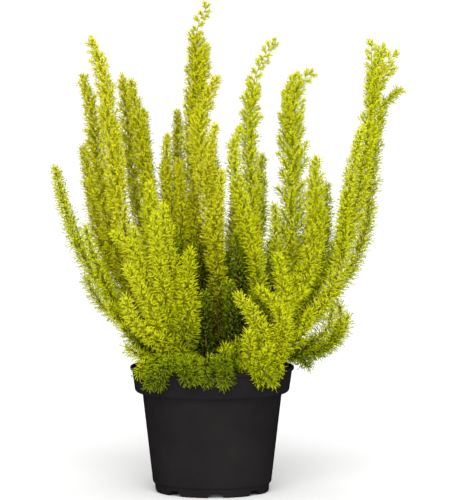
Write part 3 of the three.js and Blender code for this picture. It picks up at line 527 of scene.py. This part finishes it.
class Stem:
    def __init__(self, way, reach, low_radius):
        self.places = smooth_way(way)
        self.axes = axes_along(self.places)
        self.length = SAMPLE_STEP * (len(self.places) - 1)
        self.reach = reach
        self.low_radius = low_radius

    def radius(self, along):
        return between(self.low_radius, STEM_TIP_RADIUS, (along / self.length) ** STEM_TAPER)

    def at(self, along):
        """Places and axes at distances from the stem's base."""
        last = len(self.places) - 1
        index = np.clip(np.asarray(along) / self.length * last, 0, last)
        low = np.floor(index).astype(int)
        high = np.minimum(low + 1, last)
        share = (index - low)[..., None]
        mix = [between(x[low], x[high], share) for x in (self.places, *self.axes)]
        return mix[0], unit(mix[1]), unit(mix[2]), unit(mix[3])


def grow_bark(builder, stem, draw):
    last = len(stem.places) - 1
    rings = np.arange(0, last + 1, STEM_RING_STEP)
    if rings[-1] != last:
        rings = np.append(rings, last)
    along = rings * SAMPLE_STEP
    radii = stem.radius(np.minimum(along, stem.length))
    age = 1 - along / stem.length
    # Bark darkens with age, and with painted shade low in the bush's middle
    colour = 0.15 + 0.8 * age + 0.9 * inner_shade(stem.places[rings])
    colour = np.clip(colour + BARK_SPREAD * draw.standard_normal(len(rings)), 0.02, 0.98)
    axes = tuple(x[rings] for x in stem.axes)
    tube(builder, stem.places[rings], radii, axes, STEM_SIDES, colour, BARK_ROUGHNESS, draw)


def needle_sizes(heights, young, draw):
    """Length, pitch and width of needles that stand at these heights."""
    count = len(heights)
    length = (by_height(heights, NEEDLE_LENGTHS) * (1 - YOUNG_SHORTER * young)
              * draw.uniform(*NEEDLE_LENGTH_RANGE, count))
    pitch = by_height(heights, NEEDLE_PITCHES) + draw.normal(0, PITCH_SPREAD, count)
    width = by_height(heights, NEEDLE_WIDTHS) * draw.uniform(*NEEDLE_WIDTH_RANGE, count)
    return length, pitch, width


def levels_along(stem, first, last, steps):
    """Distances along the stem, spaced as the height asks."""
    levels = []
    along = first
    while along < last:
        levels.append(along)
        place = min(int(along / SAMPLE_STEP), len(stem.places) - 1)
        along += float(by_height(stem.places[place, 2], steps))
    return np.array(levels)


def whorl_bearings(count, turn):
    """Even bearings in each whorl, and a turn from one whorl to the next."""
    order = np.arange(count)
    return order % WHORL_NEEDLES * 2 * math.pi / WHORL_NEEDLES + order // WHORL_NEEDLES * turn


def grow_stem_needles(builder, stem, first, last, tone, draw):
    """Needles straight on the stem, in whorls that turn against each other."""
    levels = levels_along(stem, first, last, STEM_WHORL_STEPS)
    if not len(levels):
        return
    along = np.repeat(levels, WHORL_NEEDLES)
    bearing = whorl_bearings(len(along), STEM_WHORL_TURN) + draw.normal(0, 0.2, len(along))
    along = along + draw.normal(0, 0.0004, len(along))
    places, up, side, across = stem.at(along)
    from_tip = stem.length - along
    young = 1 - np.clip(from_tip / TIP_ZONE, 0, 1)
    length, pitch, width = needle_sizes(places[:, 2], young, draw)
    pitch = pitch * (1 - 0.6 * np.clip(1 - from_tip / CLOSED_TIP, 0, 1))
    out = side * np.cos(bearing)[:, None] + across * np.sin(bearing)[:, None]
    start, end = leaning(up, out, pitch), leaning(up, out, pitch * STEM_NEEDLE_EASE)
    root = places + out * stem.radius(np.clip(along, 0, stem.length))[:, None] * 0.6
    shade = tone_at(places, tone) + BASE_TONE + STEM_YOUNG_TONE * young
    shade = shade + draw.normal(0, TONE_SPREAD, len(along))
    add_needles(builder, root, start, end, length, width, shade)


def grow_shoots(builder, stem, first, last, tone, draw):
    """Side shoots round the stem in a spiral, each with its own needles."""
    bearing = draw.uniform(0, 2 * math.pi)
    for order, along in enumerate(levels_along(stem, first, last, SHOOT_STEPS)):
        along += draw.uniform(-0.0006, 0.0006)
        height = stem.at(np.array([along]))[0][0, 2]
        room = foliage_reach(stem.reach, stem.length - along)
        needle = float(by_height(height, NEEDLE_LENGTHS))
        start_pitch = float(by_height(height, SHOOT_START_PITCHES))
        outwards = max(room - NEEDLE_REACH_SHARE * needle, SHORTEST_SHOOT)
        length = outwards / math.sin(start_pitch * SHOOT_LEAN) * draw.uniform(*SHOOT_LENGTHS)
        steep = 1.0
        if order % LONG_SHOOT_EVERY == LONG_SHOOT_EVERY - 1 and height < LONG_SHOOT_BELOW:
            length *= LONG_SHOOT_GROWTH
            steep = LONG_SHOOT_STEEP
        grow_shoot(builder, stem, along, bearing + draw.normal(0, 0.25), length, steep, tone, draw)
        bearing += GOLDEN_TURN


def grow_tufts(builder, stem, first, tone, draw):
    """Small tufts on alternate sides of a bare top."""
    along = first
    turn = 0.3
    while along < stem.length - LAST_TUFT:
        length = TUFT_LENGTH * draw.uniform(0.75, 1.2)
        bearing = turn + draw.normal(0, 0.35)
        grow_shoot(builder, stem, along, bearing, length, 1.0, tone + TUFT_TONE, draw, TUFT_CROWDING)
        turn += math.pi
        along += TUFT_STEP * draw.uniform(0.8, 1.2)
    grow_stem_needles(builder, stem, stem.length - TIP_NEEDLES, stem.length, tone, draw)


def grow_shoot(builder, stem, along, bearing, length, steep, tone, draw, crowding=1.0):
    (place,), (up,), (side,), (across,) = stem.at(np.array([along]))
    out = side * math.cos(bearing) + across * math.sin(bearing)
    start_pitch = by_height(place[2], SHOOT_START_PITCHES) * steep * draw.uniform(0.85, 1.15)
    end_pitch = by_height(place[2], SHOOT_END_PITCHES) * steep * draw.uniform(0.6, 1.5)
    leave = up * math.cos(start_pitch) + out * math.sin(start_pitch)
    arrive = up * math.cos(end_pitch) + out * math.sin(end_pitch)
    base = place + out * stem.radius(along) * 0.5
    bend = base + leave * length * 0.5
    tip = bend + arrive * length * 0.5

    def line_at(share):
        """Places and axes at shares of the shoot's length."""
        places = (1 - share) ** 2 * base + 2 * share * (1 - share) * bend + share**2 * tip
        tangent = unit(between(leave, arrive, share))
        normal = unit(np.cross(tangent, across + 0.01 * up))
        return places, (tangent, normal, np.cross(tangent, normal))

    line, axes = line_at(np.array(SHOOT_RINGS)[:, None])
    if touches_pot(line[1:]).any():
        return
    age = min(1.0, (stem.length - along) / OLD_BARK_FROM_TIP)
    # Shoot bark darkens with age, and with painted shade low in the bush's middle
    colour = 0.02 + 0.12 * age + 0.6 * inner_shade(line) + np.array([0.08, 0.03, -0.02])
    tube(builder, line, SHOOT_RADIUS * np.array(SHOOT_TAPER), axes, SHOOT_SIDES, colour)

    whorl_step = by_height(base[2], WHORL_STEPS)
    whorls = max(int(crowding * length * WHORLED_SHARE / whorl_step), FEWEST_WHORLS)
    share = np.repeat(np.linspace(FIRST_WHORL, 1.0, whorls), WHORL_NEEDLES)[:, None]
    count = len(share)
    places, (tangent, normal, second) = line_at(share)
    turn = whorl_bearings(count, SHOOT_WHORL_TURN) + draw.normal(0, 0.22, count)
    near_end = np.clip((share[:, 0] - 0.7) / 0.3, 0, 1)
    young = max(0.0, 1 - (stem.length - along) / TIP_ZONE)
    needle_length, pitch, width = needle_sizes(places[:, 2], np.full(count, young), draw)
    pitch = pitch * between(1, 0.62, near_end)
    out = normal * np.cos(turn)[:, None] + second * np.sin(turn)[:, None]
    start, end = leaning(tangent, out, pitch), leaning(tangent, out, pitch * SHOOT_NEEDLE_EASE)
    needle_length = needle_length * between(1, 0.82, near_end)
    shade = tone_at(places, tone) + BASE_TONE + TONE_TO_SHOOT_TIP * share[:, 0] + SHOOT_YOUNG_TONE * young
    shade = shade + draw.normal(0, TONE_SPREAD, count) + draw.normal(0, TONE_SPREAD)
    add_needles(builder, places, start, end, needle_length, width, shade)


def rooted_way(hole, way):
    """The main stem's way, from its foot in the soil and straight out of its hole."""
    mouth = np.array([*hole, float(soil_height(math.hypot(*hole)))])
    slant = unit(np.array(way[0]) - mouth)
    return [mouth - slant * ROOT_DEPTH, mouth + slant * STEM_OUT, *way]


def fork_way(trunk, way):
    """A side stem's way, from the place on the trunk a little below its first point."""
    gaps = np.linalg.norm(trunk.places - np.array(way[0]), axis=1)
    nearest = int(np.argmin(gaps))
    start = max(int(nearest - FORK_SLANT * gaps[nearest] / SAMPLE_STEP), 0)
    return [trunk.places[start], *way[1:]]


def over_rim(bearing, drop, draw):
    """The way of a short shoot from the soil over the pot's rim."""
    turn = math.radians(bearing) + draw.normal(0, 0.05, 5).cumsum()
    heights = (0.094, 0.1040, 0.1090, 0.1065 - 0.2 * drop, 0.1000 - drop)
    return [(r * math.cos(t), r * math.sin(t), z) for r, t, z in zip(RIM_SHOOT_RADII, turn, heights)]


def make_spray(order, name, material):
    tone, hole, stems = SPRAYS[name]
    stems = [(*metres([reach]), [metres(point) for point in way]) for reach, *way in stems]
    draw = np.random.default_rng(SPRAY_SEED + order)
    builder = Builder()
    trunk = Stem(rooted_way(metres(hole), stems[0][1]), stems[0][0], STEM_LOW_RADIUS)
    others = [Stem(fork_way(trunk, way), reach, FORK_LOW_RADIUS) for reach, way in stems[1:]]
    others += [Stem(over_rim(bearing, *metres([drop]), draw), RIM_SHOOT_REACH, FORK_LOW_RADIUS)
               for bearing, drop in OVER_RIM.get(name, ())]
    for stem in (trunk, *others):
        first = ROOT_DEPTH + FIRST_SHOOT if stem is trunk else FORK_SHOOT
        open_top = OPEN_TOPS.get(name, 0) if stem is trunk else 0
        if stem is not trunk and stem.reach < OPEN_FORK_REACH:
            open_top = OPEN_FORKS.get(name, 0)
        last = stem.length - open_top
        grow_bark(builder, stem, draw)
        grow_stem_needles(builder, stem, first, last, tone, draw)
        grow_shoots(builder, stem, first, last - LAST_SHOOT, tone, draw)
        if open_top:
            grow_tufts(builder, stem, last, tone, draw)
    piece = builder.piece("heath_" + name, material)
    if "spray_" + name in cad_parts:
        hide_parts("spray_" + name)
    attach(piece, "root")


# Materials

# Ramps: a place from 0 to 1, and its colour in screen values or its plain level
NEEDLE_TONES = ((0.00, (20, 36, 2)), (0.25, (98, 120, 3)), (0.50, (181, 190, 5)), (0.75, (205, 211, 18)),
                (1.00, (220, 223, 66)))
GOLDEN_TONES = ((0.00, (32, 38, 2)), (0.25, (109, 117, 4)), (0.50, (187, 188, 6)), (0.75, (210, 208, 22)),
                (1.00, (224, 220, 70)))
BARK_TONES = ((0.0, (190, 184, 52)), (0.35, (176, 150, 74)), (0.7, (140, 104, 62)), (1.0, (66, 54, 30)))
PLASTIC_TONES = ((0.30, (28, 26, 27)), (0.62, (33, 31, 31)), (0.80, (37, 35, 35)))
PLASTIC_ROUGHNESS = ((0.3, 0.46), (0.75, 0.60))
SOIL_TONES = ((0.30, (34, 24, 18)), (0.52, (62, 45, 32)), (0.72, (98, 74, 52)))
NEEDLE_TIP_LIFT = 0.14


def linear(red, green, blue):
    """A colour given as 0 to 255 screen values, as the linear values that a socket takes."""
    values = [channel / 255 for channel in (red, green, blue)]
    return [v / 12.92 if v <= 0.04045 else ((v + 0.055) / 1.055) ** 2.4 for v in values] + [1.0]


def set_sockets(tree, node, sockets):
    """Sets sockets to values, or links them to other nodes' outputs."""
    for key, value in sockets.items():
        if isinstance(value, bpy.types.NodeSocket):
            tree.links.new(value, node.inputs[key])
        else:
            node.inputs[key].default_value = value


def add_node(tree, kind, **sockets):
    node = tree.nodes.new("ShaderNode" + kind)
    set_sockets(tree, node, sockets)
    return node


def ramp_node(tree, stops, factor):
    node = add_node(tree, "ValToRGB", Fac=factor)
    elements = node.color_ramp.elements
    while len(elements) < len(stops):
        elements.new(0.5)
    for element, (place, value) in zip(elements, stops):
        element.position = place
        element.color = linear(*value) if isinstance(value, tuple) else (value, value, value, 1)
    return node.outputs["Color"]


def math_node(tree, operation, *values, clamp=False):
    node = add_node(tree, "Math")
    node.operation = operation
    node.use_clamp = clamp
    set_sockets(tree, node, dict(enumerate(values)))
    return node.outputs[0]


def noise_node(tree, scale, detail=4.0, roughness=0.5):
    where = add_node(tree, "TexCoord").outputs["Object"]
    noise = add_node(tree, "TexNoise", Vector=where, Scale=scale, Detail=detail, Roughness=roughness)
    return noise.outputs["Fac"]


def bump_node(tree, height, distance, strength):
    return add_node(tree, "Bump", Height=height, Distance=distance, Strength=strength).outputs["Normal"]


def new_material(name):
    material = bpy.data.materials.new(name)
    material.use_nodes = True
    material.node_tree.nodes.clear()
    return material, material.node_tree


def add_shader(tree, sockets):
    shader = add_node(tree, "BsdfPrincipled")
    set_sockets(tree, shader, sockets)
    add_node(tree, "OutputMaterial", Surface=shader.outputs["BSDF"])


def foliage_material(name, tones):
    """Needles run from dark to pale up the colour map and gain a pale tip across it; stems lie above."""
    material, tree = new_material(name)
    where = add_node(tree, "UVMap")
    where.uv_map = COLOUR_MAP
    split = add_node(tree, "SeparateXYZ", Vector=where.outputs["UV"])
    across, up = split.outputs["X"], split.outputs["Y"]
    tone = math_node(tree, "DIVIDE", up, NEEDLE_BAND)
    paler = math_node(tree, "MULTIPLY_ADD", across, NEEDLE_TIP_LIFT, -NEEDLE_TIP_LIFT / 2)
    lifted = math_node(tree, "ADD", tone, paler, clamp=True)
    is_bark = math_node(tree, "GREATER_THAN", up, (NEEDLE_BAND + STEM_BAND) / 2)
    colour = add_node(tree, "Mix")
    colour.data_type = "RGBA"
    set_sockets(tree, colour, {"Factor": is_bark, "A": ramp_node(tree, tones, lifted),
                                "B": ramp_node(tree, BARK_TONES, across)})
    add_shader(tree, {"Base Color": colour.outputs["Result"], "Roughness": 0.55, "Specular IOR Level": 0.08,
                      "Subsurface Weight": 0.45, "Subsurface Radius": (1.0, 0.95, 0.12),
                      "Subsurface Scale": 0.0012})
    return material


def pot_material():
    """Satin black moulded plastic with a fine grain, faint dust and slightly uneven gloss."""
    material, tree = new_material("pot plastic")
    add_shader(tree, {"Base Color": ramp_node(tree, PLASTIC_TONES, noise_node(tree, 26, 6, 0.62)),
                      "Roughness": ramp_node(tree, PLASTIC_ROUGHNESS, noise_node(tree, 60, 5)),
                      "Normal": bump_node(tree, noise_node(tree, 1400, 3), 0.00012, 0.5),
                      "Specular IOR Level": 0.0})
    return material


def soil_material():
    """Damp peat and bark crumb."""
    material, tree = new_material("potting soil")
    add_shader(tree, {"Base Color": ramp_node(tree, SOIL_TONES, noise_node(tree, 320, 8, 0.65)),
                      "Normal": bump_node(tree, noise_node(tree, 900, 6, 0.6), 0.0006, 0.8),
                      "Roughness": 0.92, "Specular IOR Level": 0.2})
    return material


# Pot

POT_SIDES = 192
NOTCH_COUNT = 8
NOTCH_TURN = math.radians(4)
NOTCH_TOP_HALF = 0.0045
NOTCH_LOW_HALF = 0.0075
NOTCH_HEIGHT = 0.0042
NOTCH_ROUND = 0.0011
CUT_PAST = 0.004
DRAIN_COUNT = 4
DRAIN_SIDES = 24
DRAIN_RADIUS = 0.004
DRAIN_FROM_AXIS = 0.024
DRAIN_CUT_Z = (0.002, 0.010)
BOSS_BEVEL = 0.0004
FOOT_BEVEL = 0.0003
FOOT_ROUND = 0.0016
BAND_ROUND = 0.0034
LIP_ROUND = 0.0011
LIP_DEPTH = 0.0030
INNER_ROUND = 0.0006
SHARP_FROM = math.radians(32)


def arc(centre, radius, start_deg, end_deg, steps):
    """Points [radius, height] on an arc in the pot's profile."""
    turns = np.radians(np.linspace(start_deg, end_deg, steps))
    return [(centre[0] + radius * math.cos(t), centre[1] + radius * math.sin(t)) for t in turns]


def wall(low, high, steps):
    """Points on a straight wall between two points of the profile."""
    return [(between(low[0], high[0], t), between(low[1], high[1], t)) for t in np.linspace(0, 1, steps)]


def pot_profile():
    """From the middle of the underside out, up the outside, over the lip and down the inside."""
    return [
        (0.0, 0.0), (BOSS_RADIUS - BOSS_BEVEL, 0.0), (BOSS_RADIUS, BOSS_BEVEL), (BOSS_RADIUS, FLOOR_LOW_Z),
        (FOOT_INNER, FLOOR_LOW_Z), (FOOT_INNER, FOOT_BEVEL),
        (FOOT_INNER + FOOT_BEVEL, 0.0),
        *arc((FOOT_RADIUS - FOOT_ROUND, FOOT_ROUND), FOOT_ROUND, -90, 0, 6),
        (FOOT_RADIUS + 0.0001, BODY_LOW_Z - 0.0030), (FOOT_RADIUS + 0.0005, BODY_LOW_Z - 0.0014),
        (BODY_LOW_RADIUS - 0.0006, BODY_LOW_Z - 0.0006), (BODY_LOW_RADIUS - 0.0001, BODY_LOW_Z + 0.0003),
        *wall((BODY_LOW_RADIUS, BODY_LOW_Z + 0.001), (NECK_RADIUS, NECK_Z - 0.0012), 14),
        (NECK_RADIUS + 0.0001, NECK_Z - 0.0004), (NECK_RADIUS + 0.0010, NECK_Z),
        *arc((BAND_LOW_RADIUS - BAND_ROUND, NECK_Z + 0.0036), BAND_ROUND, -80, 0, 8),
        *wall((BAND_LOW_RADIUS + 0.0001, BAND_LOW_Z + 0.0002), (BAND_TOP_RADIUS, POT_HEIGHT - BAND_ROUND), 6),
        *arc((LIP_RADIUS - LIP_ROUND, POT_HEIGHT - LIP_DEPTH + LIP_ROUND), LIP_ROUND, -80, 0, 5),
        *arc((LIP_RADIUS - LIP_ROUND, POT_HEIGHT - LIP_ROUND), LIP_ROUND, 0, 90, 5),
        *arc((BAND_TOP_RADIUS - WALL + INNER_ROUND, POT_HEIGHT - INNER_ROUND), INNER_ROUND, 90, 180, 4),
        (BAND_LOW_RADIUS - WALL, BAND_LOW_Z), (BAND_LOW_RADIUS - WALL - 0.0008, BAND_LOW_Z - 0.0018),
        (NECK_RADIUS - WALL, NECK_Z), (BODY_LOW_RADIUS - WALL, FLOOR_TOP_Z), (0.0, FLOOR_TOP_Z),
    ]


def turned_piece(name, profile, sides):
    """A closed solid of revolution from a profile that starts and ends on the axis."""
    corners, faces, rings = [], [], []
    for radius, height in profile:
        if radius < 1e-6:
            rings.append([len(corners)])
            corners.append((0.0, 0.0, height))
            continue
        rings.append(list(range(len(corners), len(corners) + sides)))
        corners += [(radius * math.cos(t), radius * math.sin(t), height)
                    for t in (k * 2 * math.pi / sides for k in range(sides))]
    for low, high in zip(rings, rings[1:]):
        for k in range(sides):
            following = (k + 1) % sides
            if len(low) == 1:
                faces.append((low[0], high[following], high[k]))
            elif len(high) == 1:
                faces.append((low[k], low[following], high[0]))
            else:
                faces.append((low[k], low[following], high[following], high[k]))
    return mesh_piece(name, corners, faces)


def mesh_piece(name, corners, faces):
    mesh = bpy.data.meshes.new(name)
    mesh.from_pydata(corners, [], faces)
    mesh.update()
    return add_object(name, mesh)


def cutters(kind, total, outline, low, high):
    """Prisms spread evenly about the axis, from low to high of each point of an outline."""
    count = len(outline)
    corners = [low(*point) for point in outline] + [high(*point) for point in outline]
    faces = [tuple(range(count))[::-1], tuple(range(count, 2 * count))]
    faces += [(k, (k + 1) % count, (k + 1) % count + count, k + count) for k in range(count)]
    tools = [mesh_piece(f"{kind}_{k}", corners, faces) for k in range(total)]
    for k, tool in enumerate(tools):
        tool.rotation_euler.z = NOTCH_TURN + k * 2 * math.pi / total
    return tools


def notch_outline():
    """A notch with slanted sides and rounded upper corners, in x and z."""
    right = [(NOTCH_LOW_HALF, -0.001),
             (between(NOTCH_LOW_HALF, NOTCH_TOP_HALF, 0.8), NOTCH_HEIGHT * 0.62),
             (NOTCH_TOP_HALF + 0.0001, NOTCH_HEIGHT - NOTCH_ROUND * 0.45),
             (NOTCH_TOP_HALF - NOTCH_ROUND, NOTCH_HEIGHT)]
    return right + [(-x, z) for x, z in reversed(right)]


def cut_with(piece, tools):
    """Cuts the tools out of the piece and takes them away."""
    for tool in tools:
        modifier = piece.modifiers.new("cut", "BOOLEAN")
        modifier.operation = "DIFFERENCE"
        modifier.solver = "EXACT"
        modifier.object = tool
    depsgraph = bpy.context.evaluated_depsgraph_get()
    mesh = bpy.data.meshes.new_from_object(piece.evaluated_get(depsgraph))
    piece.modifiers.clear()
    piece.data = mesh
    for tool in tools:
        bpy.data.objects.remove(tool)


def make_pot():
    piece = turned_piece("nursery_pot", pot_profile(), POT_SIDES)
    circle = [(DRAIN_RADIUS * math.cos(t), DRAIN_RADIUS * math.sin(t) - DRAIN_FROM_AXIS)
              for t in np.linspace(0, 2 * math.pi, DRAIN_SIDES, endpoint=False)]
    tools = cutters("notch", NOTCH_COUNT, notch_outline(),
                    lambda x, z: (x, -FOOT_INNER + CUT_PAST, z),
                    lambda x, z: (x, -FOOT_RADIUS - CUT_PAST, z))
    tools += cutters("drain", DRAIN_COUNT, circle, lambda x, y: (x, y, DRAIN_CUT_Z[0]),
                     lambda x, y: (x, y, DRAIN_CUT_Z[1]))
    bpy.context.view_layer.update()
    cut_with(piece, tools)
    piece.data.materials.append(pot_material())
    smooth_faces(piece.data)
    piece.data.set_sharp_from_angle(angle=SHARP_FROM)
    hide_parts("pot")
    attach(piece, "root")


# Soil

SOIL_SIDES = 120
SOIL_RINGS = 46
SOIL_GAP = 0.0006
SOIL_BOTTOM_GAP = 0.00035
SOIL_SINK = 0.0004
SOIL_SWELLS = ((70, 0.0008, 1), (190, 0.0006, 2), (480, 0.0005, 3), (1100, 0.00025, 4))
NOISE_GRID = 64
CRUMB_COUNT = 520
CRUMB_SEED = 77
CRUMB_SIZES = (0.0005, 0.0019)
CRUMBS_WITHIN = 0.0565


def value_noise(x, y, scale, seed):
    """Smooth noise between -1 and 1 from a seeded grid."""
    grid = np.random.default_rng(seed).uniform(-1, 1, (NOISE_GRID, NOISE_GRID))
    u, v = x * scale + 31.7, y * scale + 17.3
    i, j = np.floor(u).astype(int), np.floor(v).astype(int)
    s, t = u - i, v - j
    s, t = s * s * (3 - 2 * s), t * t * (3 - 2 * t)
    pick = [grid[(i + a) % NOISE_GRID, (j + b) % NOISE_GRID] for a in (0, 1) for b in (0, 1)]
    return between(between(pick[0], pick[1], t), between(pick[2], pick[3], t), s)


def soil_top(x, y):
    height = soil_height(np.hypot(x, y))
    for scale, size, seed in SOIL_SWELLS:
        height = height + size * value_noise(x, y, scale, seed)
    return height - SOIL_SINK


def make_soil():
    bottom = FLOOR_TOP_Z + SOIL_BOTTOM_GAP
    low = [(0.0, bottom), (BODY_LOW_RADIUS - WALL - SOIL_GAP, bottom),
           (NECK_RADIUS - WALL - SOIL_GAP, NECK_Z), (SOIL_RADIUS, BAND_LOW_Z)]
    radii = SOIL_RADIUS * np.linspace(1, 0, SOIL_RINGS)
    profile = low + [(radius, SOIL_EDGE_Z) for radius in radii]
    piece = turned_piece("potting_soil", profile, SOIL_SIDES)
    mesh = piece.data
    corners = np.empty(len(mesh.vertices) * 3)
    mesh.vertices.foreach_get("co", corners)
    corners = corners.reshape(-1, 3)
    top = np.abs(corners[:, 2] - SOIL_EDGE_Z) < 1e-6
    corners[top, 2] = soil_top(corners[top, 0], corners[top, 1])
    mesh.vertices.foreach_set("co", corners.ravel())
    mesh.update()
    mesh.materials.append(soil_material())
    smooth_faces(mesh)
    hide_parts("soil")
    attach(piece, "root")


def make_crumbs():
    """Loose crumbs of bark and peat that lie half sunk in the soil."""
    draw = np.random.default_rng(CRUMB_SEED)
    shape = np.array([(0, 0, 1), (0, 0, -1), (1, 0, 0), (0.31, 0.95, 0), (-0.81, 0.59, 0),
                      (-0.81, -0.59, 0), (0.31, -0.95, 0)])
    faces = [(0, 2 + k, 2 + (k + 1) % 5) for k in range(5)] + [(1, 2 + (k + 1) % 5, 2 + k) for k in range(5)]
    corners, all_faces = [], []
    for _ in range(CRUMB_COUNT):
        radius, bearing = CRUMBS_WITHIN * math.sqrt(draw.uniform(0, 1)), draw.uniform(0, 2 * math.pi)
        x, y = radius * math.cos(bearing), radius * math.sin(bearing)
        size = draw.uniform(*CRUMB_SIZES)
        stretch = np.array([draw.uniform(0.8, 1.9), draw.uniform(0.6, 1.0), draw.uniform(0.3, 0.6)])
        lumpy = shape * stretch * size * draw.uniform(0.75, 1.2, (7, 1))
        turn = draw.uniform(0, 2 * math.pi)
        spin = np.array([[math.cos(turn), -math.sin(turn), 0], [math.sin(turn), math.cos(turn), 0],
                         [0, 0, 1]])
        place = np.array([x, y, float(soil_top(np.array(x), np.array(y))) + size * 0.1])
        all_faces += [tuple(len(corners) + k for k in face) for face in faces]
        corners += [tuple(point) for point in lumpy @ spin.T + place]
    piece = mesh_piece("bark_crumbs", corners, all_faces)
    piece.data.materials.append(soil_material())
    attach(piece, "root")


# Camera, light and floor

CAMERA_DISTANCE = 3.300
CAMERA_HEIGHT = 0.464
CAMERA_SIDE = 0.011
AIM_HEIGHT = 0.1919
VIEW_HEIGHT_AT_AXIS = 0.3945
SENSOR = 36.0
DOME_LEVELS = ((0.16, 0.02), (0.95, 1.2))
DOME_STRENGTH = 1.0
KEY_HEIGHT = math.radians(42)
KEY_SPREAD = math.radians(40)
KEY_STRENGTH = 2.0
FILL_PLACE = (0.0, -4.2, 0.7)
FILL_AIM = (0, 0, 0.2)
FILL_SIZE = (1.8, 1.2)
FILL_POWER = 100
FLOOR_HALF = 60.0


def make_camera():
    data = bpy.data.cameras.new("camera")
    data.sensor_fit = "VERTICAL"
    data.sensor_height = SENSOR
    data.lens = SENSOR * CAMERA_DISTANCE / VIEW_HEIGHT_AT_AXIS
    data.clip_start, data.clip_end = 0.1, 50
    camera = add_object("camera", data)
    camera.location = (CAMERA_SIDE, -CAMERA_DISTANCE, CAMERA_HEIGHT)
    pitch = math.atan2(CAMERA_HEIGHT - AIM_HEIGHT, CAMERA_DISTANCE)
    camera.rotation_euler = (math.pi / 2 - pitch, 0, 0)
    bpy.context.scene.camera = camera


def make_world():
    """Light from a bright dome that is dim at the horizon, and a white backdrop."""
    world = bpy.data.worlds.new("studio")
    world.use_nodes = True
    tree = world.node_tree
    tree.nodes.clear()
    split = add_node(tree, "SeparateXYZ", Vector=add_node(tree, "TexCoord").outputs["Generated"])
    level = ramp_node(tree, DOME_LEVELS, split.outputs["Z"])
    dome = add_node(tree, "Background", Color=level, Strength=DOME_STRENGTH)
    backdrop = add_node(tree, "Background", Color=(1, 1, 1, 1))
    mix = add_node(tree, "MixShader", Fac=add_node(tree, "LightPath").outputs["Is Camera Ray"])
    set_sockets(tree, mix, {1: dome.outputs["Background"], 2: backdrop.outputs["Background"]})
    add_node(tree, "OutputWorld", Surface=mix.outputs["Shader"])
    bpy.context.scene.world = world


def make_lights():
    """A broad key light high in front, and a low softbox behind the camera."""
    key_data = bpy.data.lights.new("key light", "SUN")
    key_data.energy = KEY_STRENGTH
    key_data.angle = KEY_SPREAD
    key = add_object("key light", key_data)
    key.rotation_euler = (math.pi / 2 - KEY_HEIGHT, 0, 0)
    fill_data = bpy.data.lights.new("low softbox", "AREA")
    fill_data.shape = "RECTANGLE"
    fill_data.size, fill_data.size_y = FILL_SIZE
    fill_data.energy = FILL_POWER
    fill = add_object("low softbox", fill_data)
    fill.location = FILL_PLACE
    x, y, z = np.array(FILL_PLACE) - np.array(FILL_AIM)
    fill.rotation_euler = (math.atan2(math.hypot(x, y), z), 0, math.atan2(y, x) + math.pi / 2)


def make_floor():
    far = FLOOR_HALF
    corners = [(-far, -far, 0), (far, -far, 0), (far, far, 0), (-far, far, 0)]
    floor = mesh_piece("floor", corners, [(0, 1, 2, 3)])
    material, tree = new_material("white floor")
    add_shader(tree, {"Base Color": (0.92, 0.92, 0.92, 1), "Roughness": 0.9, "Specular IOR Level": 0.1})
    floor.data.materials.append(material)


bpy.context.scene.view_settings.view_transform = "Standard"
make_camera()
make_world()
make_lights()
make_floor()
make_pot()
make_soil()
make_crumbs()
foliage = foliage_material("heath foliage", NEEDLE_TONES)
golden_foliage = foliage_material("golden heath foliage", GOLDEN_TONES)
for order, name in enumerate(SPRAYS):
    make_spray(order, name, golden_foliage if name in GOLDEN else foliage)
